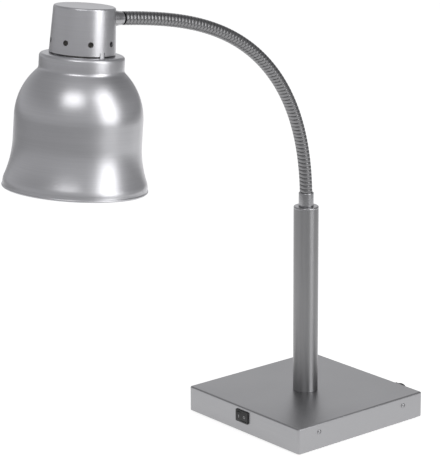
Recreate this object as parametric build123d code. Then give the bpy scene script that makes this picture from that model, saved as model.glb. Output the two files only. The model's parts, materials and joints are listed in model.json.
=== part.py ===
"""Table-top food warming lamp.

A square sheet-metal base carries an upright tube. A flexible ribbed neck rises from the tube and
bends over to a spun bell shade with a vented cap, which hold a reflector lamp over the food.

Millimetres, +Z up. The origin is the centre of the base's underside. The neck bends in the YZ
plane, and the shade hangs out over the side with the switch, which faces -Y.
"""

import os
from math import acos, asin, atan2, ceil, cos, degrees, pi, radians, sin, sqrt, tan

from build123d import *

# Base housing
BASE_SIDE = 200.0
BASE_HEIGHT = 30.5
BASE_SHEET = 1.5
BASE_CORNER_R = 3.0
BASE_EDGE_R = 2.0
MAT_THICKNESS = 2.0
MAT_MARGIN = 3.5
PLATE_THICKNESS = 2.5
PLATE_GAP = 0.2

# Tabs and screws that hold the cover to the bottom plate
TAB_WIDTH = 14.0
TAB_THICKNESS = 2.0
TAB_TOP_GAP = 4.0
TAB_CORNER = 3.0
SIDE_SCREW_INSET = 32.0
SIDE_SCREW_DROP = 10.4
SCREW_R = 1.45
SCREW_HEAD_R = 2.9
SCREW_HEAD_HEIGHT = 1.9
SCREW_TIP = 1.0
SCREW_CLEARANCE = 0.15
THREAD_GAP = 0.05

# Ballast
BALLAST_THICKNESS = 14.0
BALLAST_MARGIN = 6.5
BALLAST_WELL_WIDTH = 90.0
BALLAST_WELL_BACK = 26.0
BALLAST_NOTCH_WIDTH = 36.0
BALLAST_NOTCH_DEPTH = 30.0
BALLAST_CORNER = 4.0
BALLAST_SCREW_INSET = 12.0
BALLAST_SCREW_R = 2.5
BALLAST_SCREW_HEAD_R = 4.8
BALLAST_SCREW_LENGTH = 12.0

# Rocker switch
SWITCH_WIDTH = 22.0
SWITCH_HEIGHT = 15.0
SWITCH_DROP = 11.45
SWITCH_BEZEL = 2.0
SWITCH_CORNER_R = 1.0
SWITCH_EDGE_R = 0.6
SWITCH_BODY_WIDTH = 19.2
SWITCH_BODY_HEIGHT = 13.0
SWITCH_BODY_DEPTH = 12.5
SWITCH_CUTOUT_GAP = 0.1
SWITCH_CLIP = 0.8
SWITCH_CLIP_LENGTH = 5.0
SWITCH_CLIP_HEIGHT = 6.5
SWITCH_WALL = 0.9
SWITCH_FLOOR = 7.0
ROCKER_HEIGHT = 10.6
ROCKER_END_R = 8.3
ROCKER_TILT = 10.0
ROCKER_VALLEY = 1.0
ROCKER_BACK = 3.5
ROCKER_PIVOT_DEPTH = 1.5
ROCKER_PIN_R = 1.2
ROCKER_PIN_LENGTH = 0.9
ROCKER_PIN_GAP = 0.05
ROCKER_SIDE_GAP = 0.2
BLADE_SPACING = 10.0
BLADE_WIDTH = 4.8
BLADE_THICKNESS = 0.8
BLADE_LENGTH = 7.5
BLADE_HOLE_R = 0.8
BLADE_HOLE_FROM_WALL = 4.5
BLADE_CHAMFER = 0.9

# Cable gland in the rear wall
GLAND_X = 50.0
GLAND_DROP = 15.25
GLAND_THREAD_R = 8.0
GLAND_BORE_R = 5.0
GLAND_STUD = 9.0
GLAND_FLANGE_AF = 20.0
GLAND_FLANGE = 5.0
GLAND_NECK_R = 7.4
GLAND_NECK = 8.0
GLAND_SEAL_R = 5.9
GLAND_SEAL_BORE_R = 3.4
GLAND_SEAL_DEPTH = 6.0
GLAND_SEAL_PROUD = 1.0
GLAND_DOME_HEX = 6.0
GLAND_DOME_END_R = 7.0
GLAND_DOME_WALL = 3.0
GLAND_NUT_AF = 21.0
GLAND_NUT_HEIGHT = 4.5

# Terminal block, earth stud and leads in the base
BLOCK_WIDTH = 34.0
BLOCK_DEPTH = 16.0
BLOCK_HEIGHT = 14.0
BLOCK_FROM_BLADES = 17.5
BLOCK_WAYS = 3
BLOCK_PITCH = 10.0
BLOCK_WAY_R = 1.6
BLOCK_WAY_HEIGHT = 7.5
BLOCK_SCREW_R = 1.5
BLOCK_SCREW_DEPTH = 5.0
BLOCK_SLOT = 3.0
BLOCK_SLOT_WIDTH = 1.0
BLOCK_SCREW_SINK = 0.5
EARTH_X = 30.0
EARTH_FROM_BLOCK = 15.0
EARTH_STUD_R = 2.0
EARTH_STUD_HEIGHT = 11.0
EARTH_NUT_AF = 7.0
EARTH_NUT_HEIGHT = 3.2
EARTH_RING_R = 4.2
EARTH_RING_THICKNESS = 1.0
EARTH_GRIP = 3.5
EARTH_GRIP_LAP = 0.5
EARTH_LEAD_RUN = 4.0
EARTH_LEAD_EXIT = 3.0
CORE_R = 1.2
CORE_INSERT = 4.0
LEAD_R = 2.3
LEAD_HEIGHT = 12.0
LEAD_RUN_SHARE = 0.45
LEAD_SIDES = 12
LEAD_STEP = 18.0

# Pole
POLE_R = 15.0
POLE_WALL = 1.5
POLE_LENGTH = 230.0
POLE_PLUG_GAP = 0.1
POLE_FOOT_PLUG = 12.0
POLE_STUD_R = 8.0
POLE_STUD_BORE_R = 6.0
POLE_STUD_GAP = 0.2
POLE_STUD_PROUD = 0.5
POLE_WASHER_R = 14.0
POLE_WASHER = 1.5
POLE_NUT_AF = 24.0
POLE_NUT = 6.0
POLE_CAP = 3.0
POLE_CAP_CHAMFER = 1.5
POLE_CAP_SPIGOT = 10.0

# Flexible neck
NECK_LINKS = 14
NECK_RIBS = 6
NECK_PITCH = 4.771
NECK_CREST_R = 7.6
NECK_ROOT_R = 6.3
NECK_CREST = 1.4
NECK_SIDES = 12
NECK_BORE_R = 3.3
NECK_LEAN = 5.5
NECK_BEND_CENTRE = 0.392
NECK_BEND_REACH = 0.796
JOINT_HALF_GAP = 0.77
JOINT_STUB_R = 4.9
JOINT_STUB_TIP_R = 4.5
JOINT_STUB = 3.0
JOINT_SOCKET_R = 5.6
JOINT_SOCKET = 4.2
JOINT_SOCKET_CONE = 0.7

# Ferrules at the two ends of the neck
LOWER_FERRULE_R = 9.0
LOWER_FERRULE_LENGTH = 17.0
LOWER_FERRULE_CHAMFER = 1.5
UPPER_FERRULE_R = 8.7
UPPER_FERRULE_LENGTH = 16.0
UPPER_FERRULE_RIB = 1.6
UPPER_FERRULE_TAPER = 10.0
UPPER_FERRULE_LAP = 10.0
FERRULE_THREAD_R = 5.0
NIPPLE_INNER_END = 24.0
NIPPLE_NUT_AF = 14.0
NIPPLE_NUT = 4.0

# Cap over the shade
CAP_TOP_R = 33.4
CAP_BOTTOM_R = 35.8
CAP_HEIGHT = 50.0
CAP_WALL = 1.2
CAP_EDGE_R = 2.5
NECK_DEPTH = 14.4
VENT_COUNT = 8
VENT_R = 3.0
VENT_DEPTH = 37.6
SPACER_COUNT = 3
SPACER_WIDTH = 5.0
SPACER_SLIT = 0.8
SPACER_SLIT_HEIGHT = 4.0

# Bell shade, with depths measured down from the top of the cap
SHADE_WALL = 1.2
SHADE_OPENING_R = 27.0
SHADE_GAP = 1.5
SHADE_CORNER_R = 4.0
SHADE_COLLAR_R = 46.0
SHADE_GROOVE_R = 6.0
SHADE_DOME_R = 69.5
SHADE_DOME_DEPTH = 121.0
SHADE_STRAIGHT = 24.0
SHADE_FLARE_R = 115.0
SHADE_FLARE_ANGLE = 21.0
SHADE_LIP_R = 20.0
SHADE_DEPTH = 198.0
SHADE_BEAD_R = 1.5

# Bracket and lamp holder in the cap
BRACKET_WIDTH = 15.0
BRACKET_SHEET = 1.5
BRACKET_TOP = 4.5
BRACKET_DEPTH = 23.0
BRACKET_BEND_R = 1.6
BRACKET_FRONT = 17.0
BRACKET_FRONT_CHAMFER = 3.5
BRACKET_TOP_CHAMFER = 3.0
BRACKET_LEAD_GAP = 1.0
HOLDER_R = 21.5
HOLDER_HEIGHT = 34.0
HOLDER_EDGE = 2.5
HOLDER_BORE_R = 14.3
HOLDER_FLOOR = 5.5
HOLDER_ENTRY_R = 2.6
HOLDER_SCREW_SPREAD = 11.5
HOLDER_SCREW_R = 1.7
HOLDER_SCREW_HEAD_R = 3.2
HOLDER_SCREW_HEAD = 1.8
HOLDER_SCREW_LENGTH = 5.5
SOCKET_R = 13.5
SOCKET_WALL = 0.6
SOCKET_LENGTH = 25.0
CONTACT_R = 4.0
CONTACT_HEIGHT = 1.3

# Reflector lamp
LAMP_R = 62.5
LAMP_LENGTH = 167.0
LAMP_GLASS = 1.2
LAMP_CAP_R = 13.1
LAMP_CAP_WALL = 0.6
LAMP_CAP_LENGTH = 24.0
LAMP_TIP_R = 3.5
LAMP_TIP = 1.0
LAMP_COLLET_R = 10.0
LAMP_COLLET = 2.0
LAMP_STEM_R = 12.2
LAMP_STEM = 6.0
LAMP_STEM_BELOW = 3.0
LAMP_NECK_R = 22.5
LAMP_SHOULDER = 10.0
LAMP_NECK_END = 62.0
LAMP_WAIST_R = 18.0
LAMP_EDGE_R = 22.0
LAMP_FACE_R = 110.0
LAMP_FRONT_FLAT = 10.0

# Facets of the spun and turned forms, and how far a cut reaches past the face that it opens
SPUN_SIDES = 48
TURNED_SIDES = 36
SCREW_SIDES = 18
FACET_SAG = 0.15
CUT_PAST = 1.0

# Levels and places that follow from the sizes above
COVER_TOP = MAT_THICKNESS + BASE_HEIGHT
COVER_CEILING = COVER_TOP - BASE_SHEET
COVER_INSIDE = BASE_SIDE / 2 - BASE_SHEET
PLATE_TOP = MAT_THICKNESS + PLATE_THICKNESS
BALLAST_SIDE = 2 * (COVER_INSIDE - BALLAST_MARGIN)
SWITCH_Z = COVER_TOP - SWITCH_DROP
GLAND_Z = COVER_TOP - GLAND_DROP
SIDE_SCREW_Z = COVER_TOP - SIDE_SCREW_DROP
SIDE_SCREW_Y = BASE_SIDE / 2 - SIDE_SCREW_INSET
POLE_TOP = COVER_TOP + POLE_LENGTH
POLE_CAP_Z = POLE_TOP - POLE_CAP
NECK_LINK_LENGTH = NECK_RIBS * NECK_PITCH
BLADE_END_Y = -COVER_INSIDE + SWITCH_BODY_DEPTH + BLADE_LENGTH
BLOCK_FRONT_Y = BLADE_END_Y + BLOCK_FROM_BLADES
BLOCK_Y = BLOCK_FRONT_Y + BLOCK_DEPTH / 2
BLOCK_BACK_Y = BLOCK_FRONT_Y + BLOCK_DEPTH
EARTH_Y = BLOCK_FRONT_Y - EARTH_FROM_BLOCK
BLOCK_WAY_Z = PLATE_TOP + BLOCK_WAY_HEIGHT
SHADE_TOP_DEPTH = CAP_HEIGHT + SHADE_GAP
HOLDER_TOP_DEPTH = BRACKET_DEPTH + BRACKET_SHEET
HOLDER_FLOOR_DEPTH = HOLDER_TOP_DEPTH + HOLDER_FLOOR
LAMP_TIP_DEPTH = HOLDER_FLOOR_DEPTH + CONTACT_HEIGHT + THREAD_GAP

FROM_BOTTOM = (Align.CENTER, Align.CENTER, Align.MIN)
FROM_TOP = (Align.CENTER, Align.CENTER, Align.MAX)


def rod(radius, low, high):
    """A round bar on the Z axis between two heights."""
    return Pos(0, 0, low) * Cylinder(radius, high - low, align=FROM_BOTTOM)


def tube(outer, inner, low, high):
    """A round tube on the Z axis between two heights."""
    return rod(outer, low, high) - rod(inner, low, high)


def hexagon(across_flats, low, high):
    """A hexagonal bar on the Z axis between two heights."""
    return Pos(0, 0, low) * extrude(RegularPolygon(across_flats / 2, 6, major_radius=False), high - low)


def faceted(stations, sides, closed=False):
    """A form with flat facets through rings, each given as radius and height.

    A closed form's last ring joins its first, and any other has flat ends.
    """
    rings = []
    for radius, height in stations:
        corner = Vector(radius, 0, height)
        rings.append([corner.rotate(Axis.Z, 360 * side / sides) for side in range(sides)])
    if closed:
        outlines = []
        pairs = zip(rings, rings[1:] + rings[:1])
    else:
        outlines = [rings[0], rings[-1]]
        pairs = zip(rings, rings[1:])
    for low, high in pairs:
        for side in range(sides):
            after = (side + 1) % sides
            outlines.append([low[side], low[after], high[after], high[side]])
    return Solid(Shell([Face(Wire.make_polygon(outline)) for outline in outlines]))


def stations_along(curves):
    """Radius and height of the rings along an outline, close enough together to follow its arcs."""
    points = [curves[0] @ 0]
    for curve in curves:
        steps = 1
        if curve.geom_type == GeomType.CIRCLE:
            widest = 2 * acos(1 - FACET_SAG / curve.radius)
            steps = ceil(curve.length / curve.radius / widest)
        points += [curve @ (step / steps) for step in range(1, steps + 1)]
    return [(point.X, point.Y) for point in points]


def screw(shank_r, length, head_r, head_height):
    """A screw on the Z axis, its shank down from the origin and its head above it."""
    return faceted([(shank_r, -length), (shank_r, 0), (head_r, 0), (head_r, head_height)], SCREW_SIDES)


# Neck line: the joints between links, and the way each link points

def neck_turns():
    """Turn in degrees at each joint, largest a little below the middle of the neck."""
    total = 90 - NECK_LEAN
    centre = NECK_BEND_CENTRE * NECK_LINKS
    reach = NECK_BEND_REACH * NECK_LINKS
    shares = []
    for joint in range(NECK_LINKS + 1):
        along = max(-1.0, min(1.0, (joint - centre) / reach))
        shares.append(1 + cos(pi * along))
    return [total * share / sum(shares) for share in shares]


def neck_line():
    """The joint centres, and the angle from upright of what leads away from each."""
    z = POLE_TOP + LOWER_FERRULE_LENGTH + JOINT_HALF_GAP
    centre = Vector(0, 0, z)
    angle = 0.0
    centres = []
    angles = []
    for turn in neck_turns():
        angle += turn
        centres.append(centre)
        angles.append(angle)
        centre = centre + direction(angle) * NECK_LINK_LENGTH
    return centres, angles


def direction(angle):
    """Unit vector that leans from upright towards the shade by an angle."""
    return Vector(0, -sin(radians(angle)), cos(radians(angle)))


def cap_radius(depth):
    """The radius of the cap's outside at a depth below its top."""
    return CAP_TOP_R + (CAP_BOTTOM_R - CAP_TOP_R) * depth / CAP_HEIGHT


JOINT_CENTRES, JOINT_ANGLES = neck_line()
LAST_JOINT = Location(JOINT_CENTRES[-1], (JOINT_ANGLES[-1], 0, 0))
NECK_TO_AXIS = JOINT_HALF_GAP + UPPER_FERRULE_LENGTH + cap_radius(NECK_DEPTH)
HOOD_POINT = JOINT_CENTRES[-1] + direction(JOINT_ANGLES[-1]) * NECK_TO_AXIS
HOOD = Location(HOOD_POINT, (JOINT_ANGLES[-1] - 90, 0, 0)) * Pos(0, 0, NECK_DEPTH)


# Base housing

def base_block():
    """The housing's outline as a solid, with rounded folds."""
    block = Pos(0, 0, MAT_THICKNESS) * Box(BASE_SIDE, BASE_SIDE, BASE_HEIGHT, align=FROM_BOTTOM)
    block = fillet(block.edges().filter_by(Axis.Z), BASE_CORNER_R)
    return fillet(block.edges().group_by(Axis.Z)[-1], BASE_EDGE_R)


def side_screw_places():
    """Location of each cover screw, with its head pointing out of the side wall."""
    places = []
    for side in (-1, 1):
        for y in (-SIDE_SCREW_Y, SIDE_SCREW_Y):
            places.append(Location((side * BASE_SIDE / 2, y, SIDE_SCREW_Z), (0, side * 90, 0)))
    return places


def base_cover():
    """Folded sheet cover, open underneath, with its holes."""
    room = BASE_HEIGHT - BASE_SHEET + CUT_PAST
    inside = Box(2 * COVER_INSIDE, 2 * COVER_INSIDE, room, align=FROM_TOP)
    cover = base_block() - Pos(0, 0, COVER_CEILING) * inside
    cutout = Box(
        SWITCH_BODY_WIDTH + 2 * SWITCH_CUTOUT_GAP,
        4 * BASE_SHEET,
        SWITCH_BODY_HEIGHT + 2 * SWITCH_CUTOUT_GAP,
    )
    cover -= Pos(0, -BASE_SIDE / 2, SWITCH_Z) * cutout
    cover -= rod(POLE_STUD_R + POLE_STUD_GAP, COVER_CEILING - CUT_PAST, COVER_TOP + CUT_PAST)
    cover -= gland_place() * rod(GLAND_THREAD_R + SCREW_CLEARANCE, -2 * BASE_SHEET, BASE_SHEET)
    for place in side_screw_places():
        cover -= place * rod(SCREW_R + SCREW_CLEARANCE, -2 * BASE_SHEET, BASE_SHEET)
    return cover


def cover_screws():
    """The four small screws in the side walls."""
    length = BASE_SHEET + PLATE_GAP + TAB_THICKNESS + SCREW_TIP
    one = screw(SCREW_R, length, SCREW_HEAD_R, SCREW_HEAD_HEIGHT)
    return Compound([place * one for place in side_screw_places()])


def bottom_plate():
    """Bottom plate with four upturned tabs for the cover's screws."""
    side = 2 * (COVER_INSIDE - PLATE_GAP)
    plate = Pos(0, 0, MAT_THICKNESS) * Box(side, side, PLATE_THICKNESS, align=FROM_BOTTOM)
    plate = fillet(plate.edges().filter_by(Axis.Z), BASE_CORNER_R)
    height = COVER_CEILING - TAB_TOP_GAP - MAT_THICKNESS
    tab_x = COVER_INSIDE - PLATE_GAP - TAB_THICKNESS / 2
    for side_x in (-tab_x, tab_x):
        for y in (-SIDE_SCREW_Y, SIDE_SCREW_Y):
            tab = Box(TAB_THICKNESS, TAB_WIDTH, height, align=FROM_BOTTOM)
            tab = chamfer(tab.edges().filter_by(Axis.X).group_by(Axis.Z)[-1], TAB_CORNER)
            plate += Pos(side_x, y, MAT_THICKNESS) * tab
    for place in side_screw_places():
        reach = BASE_SHEET + PLATE_GAP + TAB_THICKNESS + CUT_PAST
        plate -= place * rod(SCREW_R + THREAD_GAP, -reach, 0)
    for place in ballast_screw_places():
        plate -= place * ballast_screw_form(THREAD_GAP)
    return plate


def rubber_mat():
    """Non-slip sheet glued under the bottom plate."""
    side = BASE_SIDE - 2 * MAT_MARGIN
    mat = Box(side, side, MAT_THICKNESS, align=FROM_BOTTOM)
    return fillet(mat.edges().filter_by(Axis.Z), BASE_CORNER_R)


# Ballast

def ballast_screw_places():
    """The four places where the ballast is screwed to the plate, with the head facing down."""
    reach = BALLAST_SIDE / 2 - BALLAST_SCREW_INSET
    return [Pos(x, y, MAT_THICKNESS) for x in (-reach, reach) for y in (-reach, reach)]


def ballast_screw_form(gap):
    """A countersunk screw, thicker all round by a gap."""
    sink = BALLAST_SCREW_HEAD_R - BALLAST_SCREW_R
    shank_r = BALLAST_SCREW_R + gap
    stations = [(BALLAST_SCREW_HEAD_R + gap, 0), (shank_r, sink), (shank_r, BALLAST_SCREW_LENGTH + gap)]
    return faceted(stations, SCREW_SIDES)


def ballast_weight():
    """Steel slab with a well for the switch, terminals and pole nut, and a notch for the gland."""
    slab = Pos(0, 0, PLATE_TOP) * Box(BALLAST_SIDE, BALLAST_SIDE, BALLAST_THICKNESS, align=FROM_BOTTOM)
    well_depth = BALLAST_SIDE / 2 + BALLAST_WELL_BACK
    align = (Align.CENTER, Align.MAX, Align.MIN)
    well = Box(BALLAST_WELL_WIDTH, well_depth, 2 * BALLAST_THICKNESS, align=align)
    slab -= Pos(0, BALLAST_WELL_BACK, PLATE_TOP - CUT_PAST) * well
    notch = Box(BALLAST_NOTCH_WIDTH, 2 * BALLAST_NOTCH_DEPTH, 4 * BALLAST_THICKNESS)
    slab -= Pos(GLAND_X, BALLAST_SIDE / 2, PLATE_TOP) * notch
    slab = chamfer(slab.edges().filter_by(Axis.Z), BALLAST_CORNER)
    for place in ballast_screw_places():
        slab -= place * ballast_screw_form(THREAD_GAP)
    return slab


def ballast_screws():
    """The four countersunk screws of the ballast."""
    return Compound([place * ballast_screw_form(0) for place in ballast_screw_places()])


# Rocker switch

def switch_box(width, height, front, depth):
    """A box centred on the switch, from a distance in front of the wall back into the base."""
    box = Box(width, front + depth, height, align=(Align.CENTER, Align.MIN, Align.CENTER))
    return Pos(0, -BASE_SIDE / 2 - front, SWITCH_Z) * box


def rocker_pivot():
    """Centre of the rocker's pins."""
    return Pos(0, -BASE_SIDE / 2 - SWITCH_BEZEL + ROCKER_PIVOT_DEPTH, SWITCH_Z)


def switch_housing():
    """Bezel, body and spring clips of the switch, with the well that the rocker tips in."""
    bezel = switch_box(SWITCH_WIDTH, SWITCH_HEIGHT, SWITCH_BEZEL, 0)
    bezel = fillet(bezel.edges().filter_by(Axis.Y), SWITCH_CORNER_R)
    bezel = fillet(bezel.edges().group_by(Axis.Y)[0], SWITCH_EDGE_R)
    depth = BASE_SHEET + SWITCH_BODY_DEPTH
    body = bezel + switch_box(SWITCH_BODY_WIDTH, SWITCH_BODY_HEIGHT, 0, depth)
    behind = -COVER_INSIDE + ROCKER_PIN_GAP
    for side in (-1, 1):
        edge = side * SWITCH_BODY_WIDTH / 2
        out = edge + side * SWITCH_CLIP
        clip = Polyline((edge, behind), (out, behind), (edge, behind + SWITCH_CLIP_LENGTH), close=True)
        body += Pos(0, 0, SWITCH_Z) * extrude(make_face(clip), SWITCH_CLIP_HEIGHT / 2, both=True)
    well_width = SWITCH_BODY_WIDTH - 2 * SWITCH_WALL
    well_height = ROCKER_HEIGHT + 2 * ROCKER_SIDE_GAP
    body -= switch_box(well_width, well_height, SWITCH_BEZEL + CUT_PAST, SWITCH_FLOOR)
    pins = ROCKER_HEIGHT / 2 + ROCKER_PIN_LENGTH + ROCKER_PIN_GAP
    return body - rocker_pivot() * rod(ROCKER_PIN_R + ROCKER_PIN_GAP, -pins, pins)


def switch_rocker():
    """Rocker with two flat halves that meet in a shallow valley, tipped to its OFF side."""
    rise = ROCKER_END_R * 2 * tan(radians(ROCKER_TILT))
    ends = 2 * ROCKER_END_R
    outline = Polyline(
        (-ends, ROCKER_BACK), (ends, ROCKER_BACK), (ends, -ROCKER_VALLEY - rise), (0, -ROCKER_VALLEY),
        (-ends, -ROCKER_VALLEY - rise),
        close=True,
    )
    half = ROCKER_HEIGHT / 2
    body = extrude(make_face(outline), half, both=True) & rod(ROCKER_END_R, -half, half)
    body += rod(ROCKER_PIN_R, -half - ROCKER_PIN_LENGTH, half + ROCKER_PIN_LENGTH)
    return rocker_pivot() * Rot(0, 0, ROCKER_TILT) * body


def blade_place(side):
    """Where a connection blade leaves the back of the switch."""
    return Pos(side * BLADE_SPACING / 2, -COVER_INSIDE + SWITCH_BODY_DEPTH, SWITCH_Z)


def switch_terminals():
    """Two flat connection blades."""
    align = (Align.CENTER, Align.MIN, Align.CENTER)
    blade = Box(BLADE_THICKNESS, BLADE_LENGTH, BLADE_WIDTH, align=align)
    blade = chamfer(blade.edges().filter_by(Axis.X).group_by(Axis.Y)[-1], BLADE_CHAMFER)
    hole = Rot(0, 90, 0) * Cylinder(BLADE_HOLE_R, 2 * BLADE_THICKNESS)
    hole = Pos(0, BLADE_HOLE_FROM_WALL, 0) * hole
    return Compound([blade_place(side) * (blade - hole) for side in (-1, 1)])


# Cable gland

def gland_place():
    """Gland's own frame: +Z out of the rear wall, origin on its outer face."""
    return Location((GLAND_X, BASE_SIDE / 2, GLAND_Z), (-90, 0, 0))


def gland_body():
    """Threaded body with its hexagonal flange and the seat for the seal."""
    end = GLAND_FLANGE + GLAND_NECK
    body = rod(GLAND_THREAD_R, -BASE_SHEET - GLAND_STUD, 0) + hexagon(GLAND_FLANGE_AF, 0, GLAND_FLANGE)
    body += rod(GLAND_NECK_R, GLAND_FLANGE, end)
    body -= rod(GLAND_BORE_R, -BASE_SHEET - GLAND_STUD, end)
    return gland_place() * (body - rod(GLAND_SEAL_R + THREAD_GAP, end - GLAND_SEAL_DEPTH, end))


def gland_seal():
    """Rubber ring that grips a cord."""
    end = GLAND_FLANGE + GLAND_NECK
    ring = tube(GLAND_SEAL_R, GLAND_SEAL_BORE_R, end - GLAND_SEAL_DEPTH, end + GLAND_SEAL_PROUD)
    return gland_place() * ring


def gland_dome_nut():
    """Dome nut that presses the seal."""
    low = GLAND_FLANGE + THREAD_GAP
    shoulder = GLAND_FLANGE + GLAND_NECK + GLAND_SEAL_PROUD
    end = shoulder + GLAND_DOME_WALL
    flat_r = GLAND_FLANGE_AF / 2
    nut = hexagon(GLAND_FLANGE_AF, low, low + GLAND_DOME_HEX)
    nut += faceted([(flat_r, low), (flat_r, low + GLAND_DOME_HEX), (GLAND_DOME_END_R, end)], TURNED_SIDES)
    nut -= rod(GLAND_NECK_R + THREAD_GAP, low, shoulder)
    return gland_place() * (nut - rod(GLAND_BORE_R, shoulder, end))


def gland_locknut():
    """Locknut inside the rear wall."""
    low = -BASE_SHEET - GLAND_NUT_HEIGHT
    nut = hexagon(GLAND_NUT_AF, low, -BASE_SHEET) - rod(GLAND_THREAD_R + THREAD_GAP, low, -BASE_SHEET)
    return gland_place() * nut


# Terminal block, earth stud and leads

def block_ways():
    """X places of the block's ways."""
    first = -(BLOCK_WAYS - 1) / 2 * BLOCK_PITCH
    return [first + BLOCK_PITCH * way for way in range(BLOCK_WAYS)]


def terminal_block():
    """Block with a round way through each pole and two screws over each way."""
    block = Pos(0, BLOCK_Y, PLATE_TOP) * Box(BLOCK_WIDTH, BLOCK_DEPTH, BLOCK_HEIGHT, align=FROM_BOTTOM)
    top = PLATE_TOP + BLOCK_HEIGHT
    for x in block_ways()[:-1]:
        slot = Box(BLOCK_SLOT_WIDTH, BLOCK_DEPTH + 2 * CUT_PAST, 2 * BLOCK_SLOT)
        block -= Pos(x + BLOCK_PITCH / 2, BLOCK_Y, top) * slot
    for x in block_ways():
        block -= Pos(x, BLOCK_Y, BLOCK_WAY_Z) * Rot(90, 0, 0) * Cylinder(BLOCK_WAY_R, BLOCK_DEPTH)
    for place in terminal_screw_places():
        block -= place * rod(BLOCK_SCREW_R + THREAD_GAP, -BLOCK_SCREW_DEPTH, CUT_PAST)
    return block


def terminal_screw_places():
    """The places of the clamping screws on the block's top."""
    top = PLATE_TOP + BLOCK_HEIGHT
    rows = (BLOCK_Y - BLOCK_DEPTH / 4, BLOCK_Y + BLOCK_DEPTH / 4)
    return [Pos(x, y, top) for x in block_ways() for y in rows]


def terminal_screws():
    """Clamping screws, sunk a little into the block."""
    body = rod(BLOCK_SCREW_R, -BLOCK_SCREW_DEPTH, -BLOCK_SCREW_SINK)
    return Compound([place * body for place in terminal_screw_places()])


def earth_stud():
    """Threaded stud welded to the bottom plate."""
    return Pos(EARTH_X, EARTH_Y, PLATE_TOP) * rod(EARTH_STUD_R, 0, EARTH_STUD_HEIGHT)


def earth_ring():
    """Ring tag of the earth lead, with the neck that grips the core."""
    form = tube(EARTH_RING_R, EARTH_STUD_R + SCREW_CLEARANCE, 0, EARTH_RING_THICKNESS)
    align = (Align.CENTER, Align.MIN, Align.MIN)
    grip = Box(2 * CORE_R, EARTH_GRIP_LAP + EARTH_GRIP, 2 * CORE_R, align=align)
    form += Pos(0, EARTH_RING_R - EARTH_GRIP_LAP, 0) * grip
    return Pos(EARTH_X, EARTH_Y, PLATE_TOP) * form


def earth_nut():
    """Nut that clamps the ring tag."""
    low = EARTH_RING_THICKNESS
    nut = hexagon(EARTH_NUT_AF, low, low + EARTH_NUT_HEIGHT)
    nut -= rod(EARTH_STUD_R + THREAD_GAP, low, low + EARTH_NUT_HEIGHT)
    return Pos(EARTH_X, EARTH_Y, PLATE_TOP) * nut


def lead(points, radius, steady):
    """A round lead along straight runs joined by arcs as large as their runs allow."""
    points = [Vector(*point) for point in points]
    radii = []
    for before, at, after in zip(points, points[1:], points[2:]):
        turn = (at - before).get_angle(after - at)
        shorter = min((at - before).length, (after - at).length)
        radii.append(LEAD_RUN_SHARE * shorter / tan(radians(turn / 2)))
    path = FilletPolyline(*points, radius=radii)
    stations = [(path, 0)]
    for run in path.edges():
        steps = ceil((run % 0).get_angle(run % 1) / LEAD_STEP - 0.01)
        stations += [(run, (step + 0.5) / steps) for step in range(steps)]
    stations.append((path, 1))
    section = RegularPolygon(radius, LEAD_SIDES)
    return loft([Plane(run @ at, steady, run % at) * section for run, at in stations], ruled=True)


def switch_lead(side, way_x):
    """A core from a switch blade down to a way of the block."""
    x = side * BLADE_SPACING / 2
    fall = BLOCK_FROM_BLADES / 3
    points = [
        (x, BLADE_END_Y, SWITCH_Z),
        (x, BLADE_END_Y + fall, SWITCH_Z),
        (way_x, BLOCK_FRONT_Y - fall, BLOCK_WAY_Z),
        (way_x, BLOCK_FRONT_Y + CORE_INSERT, BLOCK_WAY_Z),
    ]
    return lead(points, CORE_R, Vector(0, 0, 1))


def earth_lead():
    """The core from the block's last way round to the earth stud's ring tag."""
    way_x = block_ways()[-1]
    tag_y = EARTH_Y + EARTH_RING_R + EARTH_GRIP
    tag_z = PLATE_TOP + CORE_R
    points = [
        (way_x, BLOCK_FRONT_Y + CORE_INSERT, BLOCK_WAY_Z),
        (way_x, BLOCK_FRONT_Y - EARTH_LEAD_EXIT, BLOCK_WAY_Z),
        (EARTH_X, tag_y + EARTH_LEAD_RUN, tag_z),
        (EARTH_X, tag_y, tag_z),
    ]
    return lead(points, CORE_R, Vector(0, 0, 1))


def lamp_lead():
    """The sheathed lead from the block up through the pole and neck to the lamp holder."""
    bend = HOOD * Pos(0, 0, -NECK_DEPTH)
    end = HOOD * Pos(0, 0, -HOLDER_TOP_DEPTH)
    start = [(0, BLOCK_BACK_Y, LEAD_HEIGHT), (0, 0, LEAD_HEIGHT)]
    return lead([*start, *JOINT_CENTRES, bend.position, end.position], LEAD_R, Vector(1, 0, 0))


# Pole

def pole_tube():
    """Upright tube that stands on the cover."""
    return tube(POLE_R, POLE_R - POLE_WALL, COVER_TOP, POLE_CAP_Z)


def pole_foot_plug():
    """Plug in the foot of the tube, with the hollow stud that goes through the cover."""
    plug = rod(POLE_R - POLE_WALL - POLE_PLUG_GAP, COVER_TOP, COVER_TOP + POLE_FOOT_PLUG)
    low = COVER_CEILING - POLE_WASHER - POLE_NUT - POLE_STUD_PROUD
    plug += rod(POLE_STUD_R, low, COVER_TOP)
    return plug - rod(POLE_STUD_BORE_R, low, COVER_TOP + POLE_FOOT_PLUG)


def pole_washer():
    """Washer under the cover's top sheet."""
    return tube(POLE_WASHER_R, POLE_STUD_R + POLE_STUD_GAP, COVER_CEILING - POLE_WASHER, COVER_CEILING)


def pole_nut():
    """Nut that pulls the pole down on the cover."""
    high = COVER_CEILING - POLE_WASHER
    nut = hexagon(POLE_NUT_AF, high - POLE_NUT, high)
    return nut - rod(POLE_STUD_R + THREAD_GAP, high - POLE_NUT, high)


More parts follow.
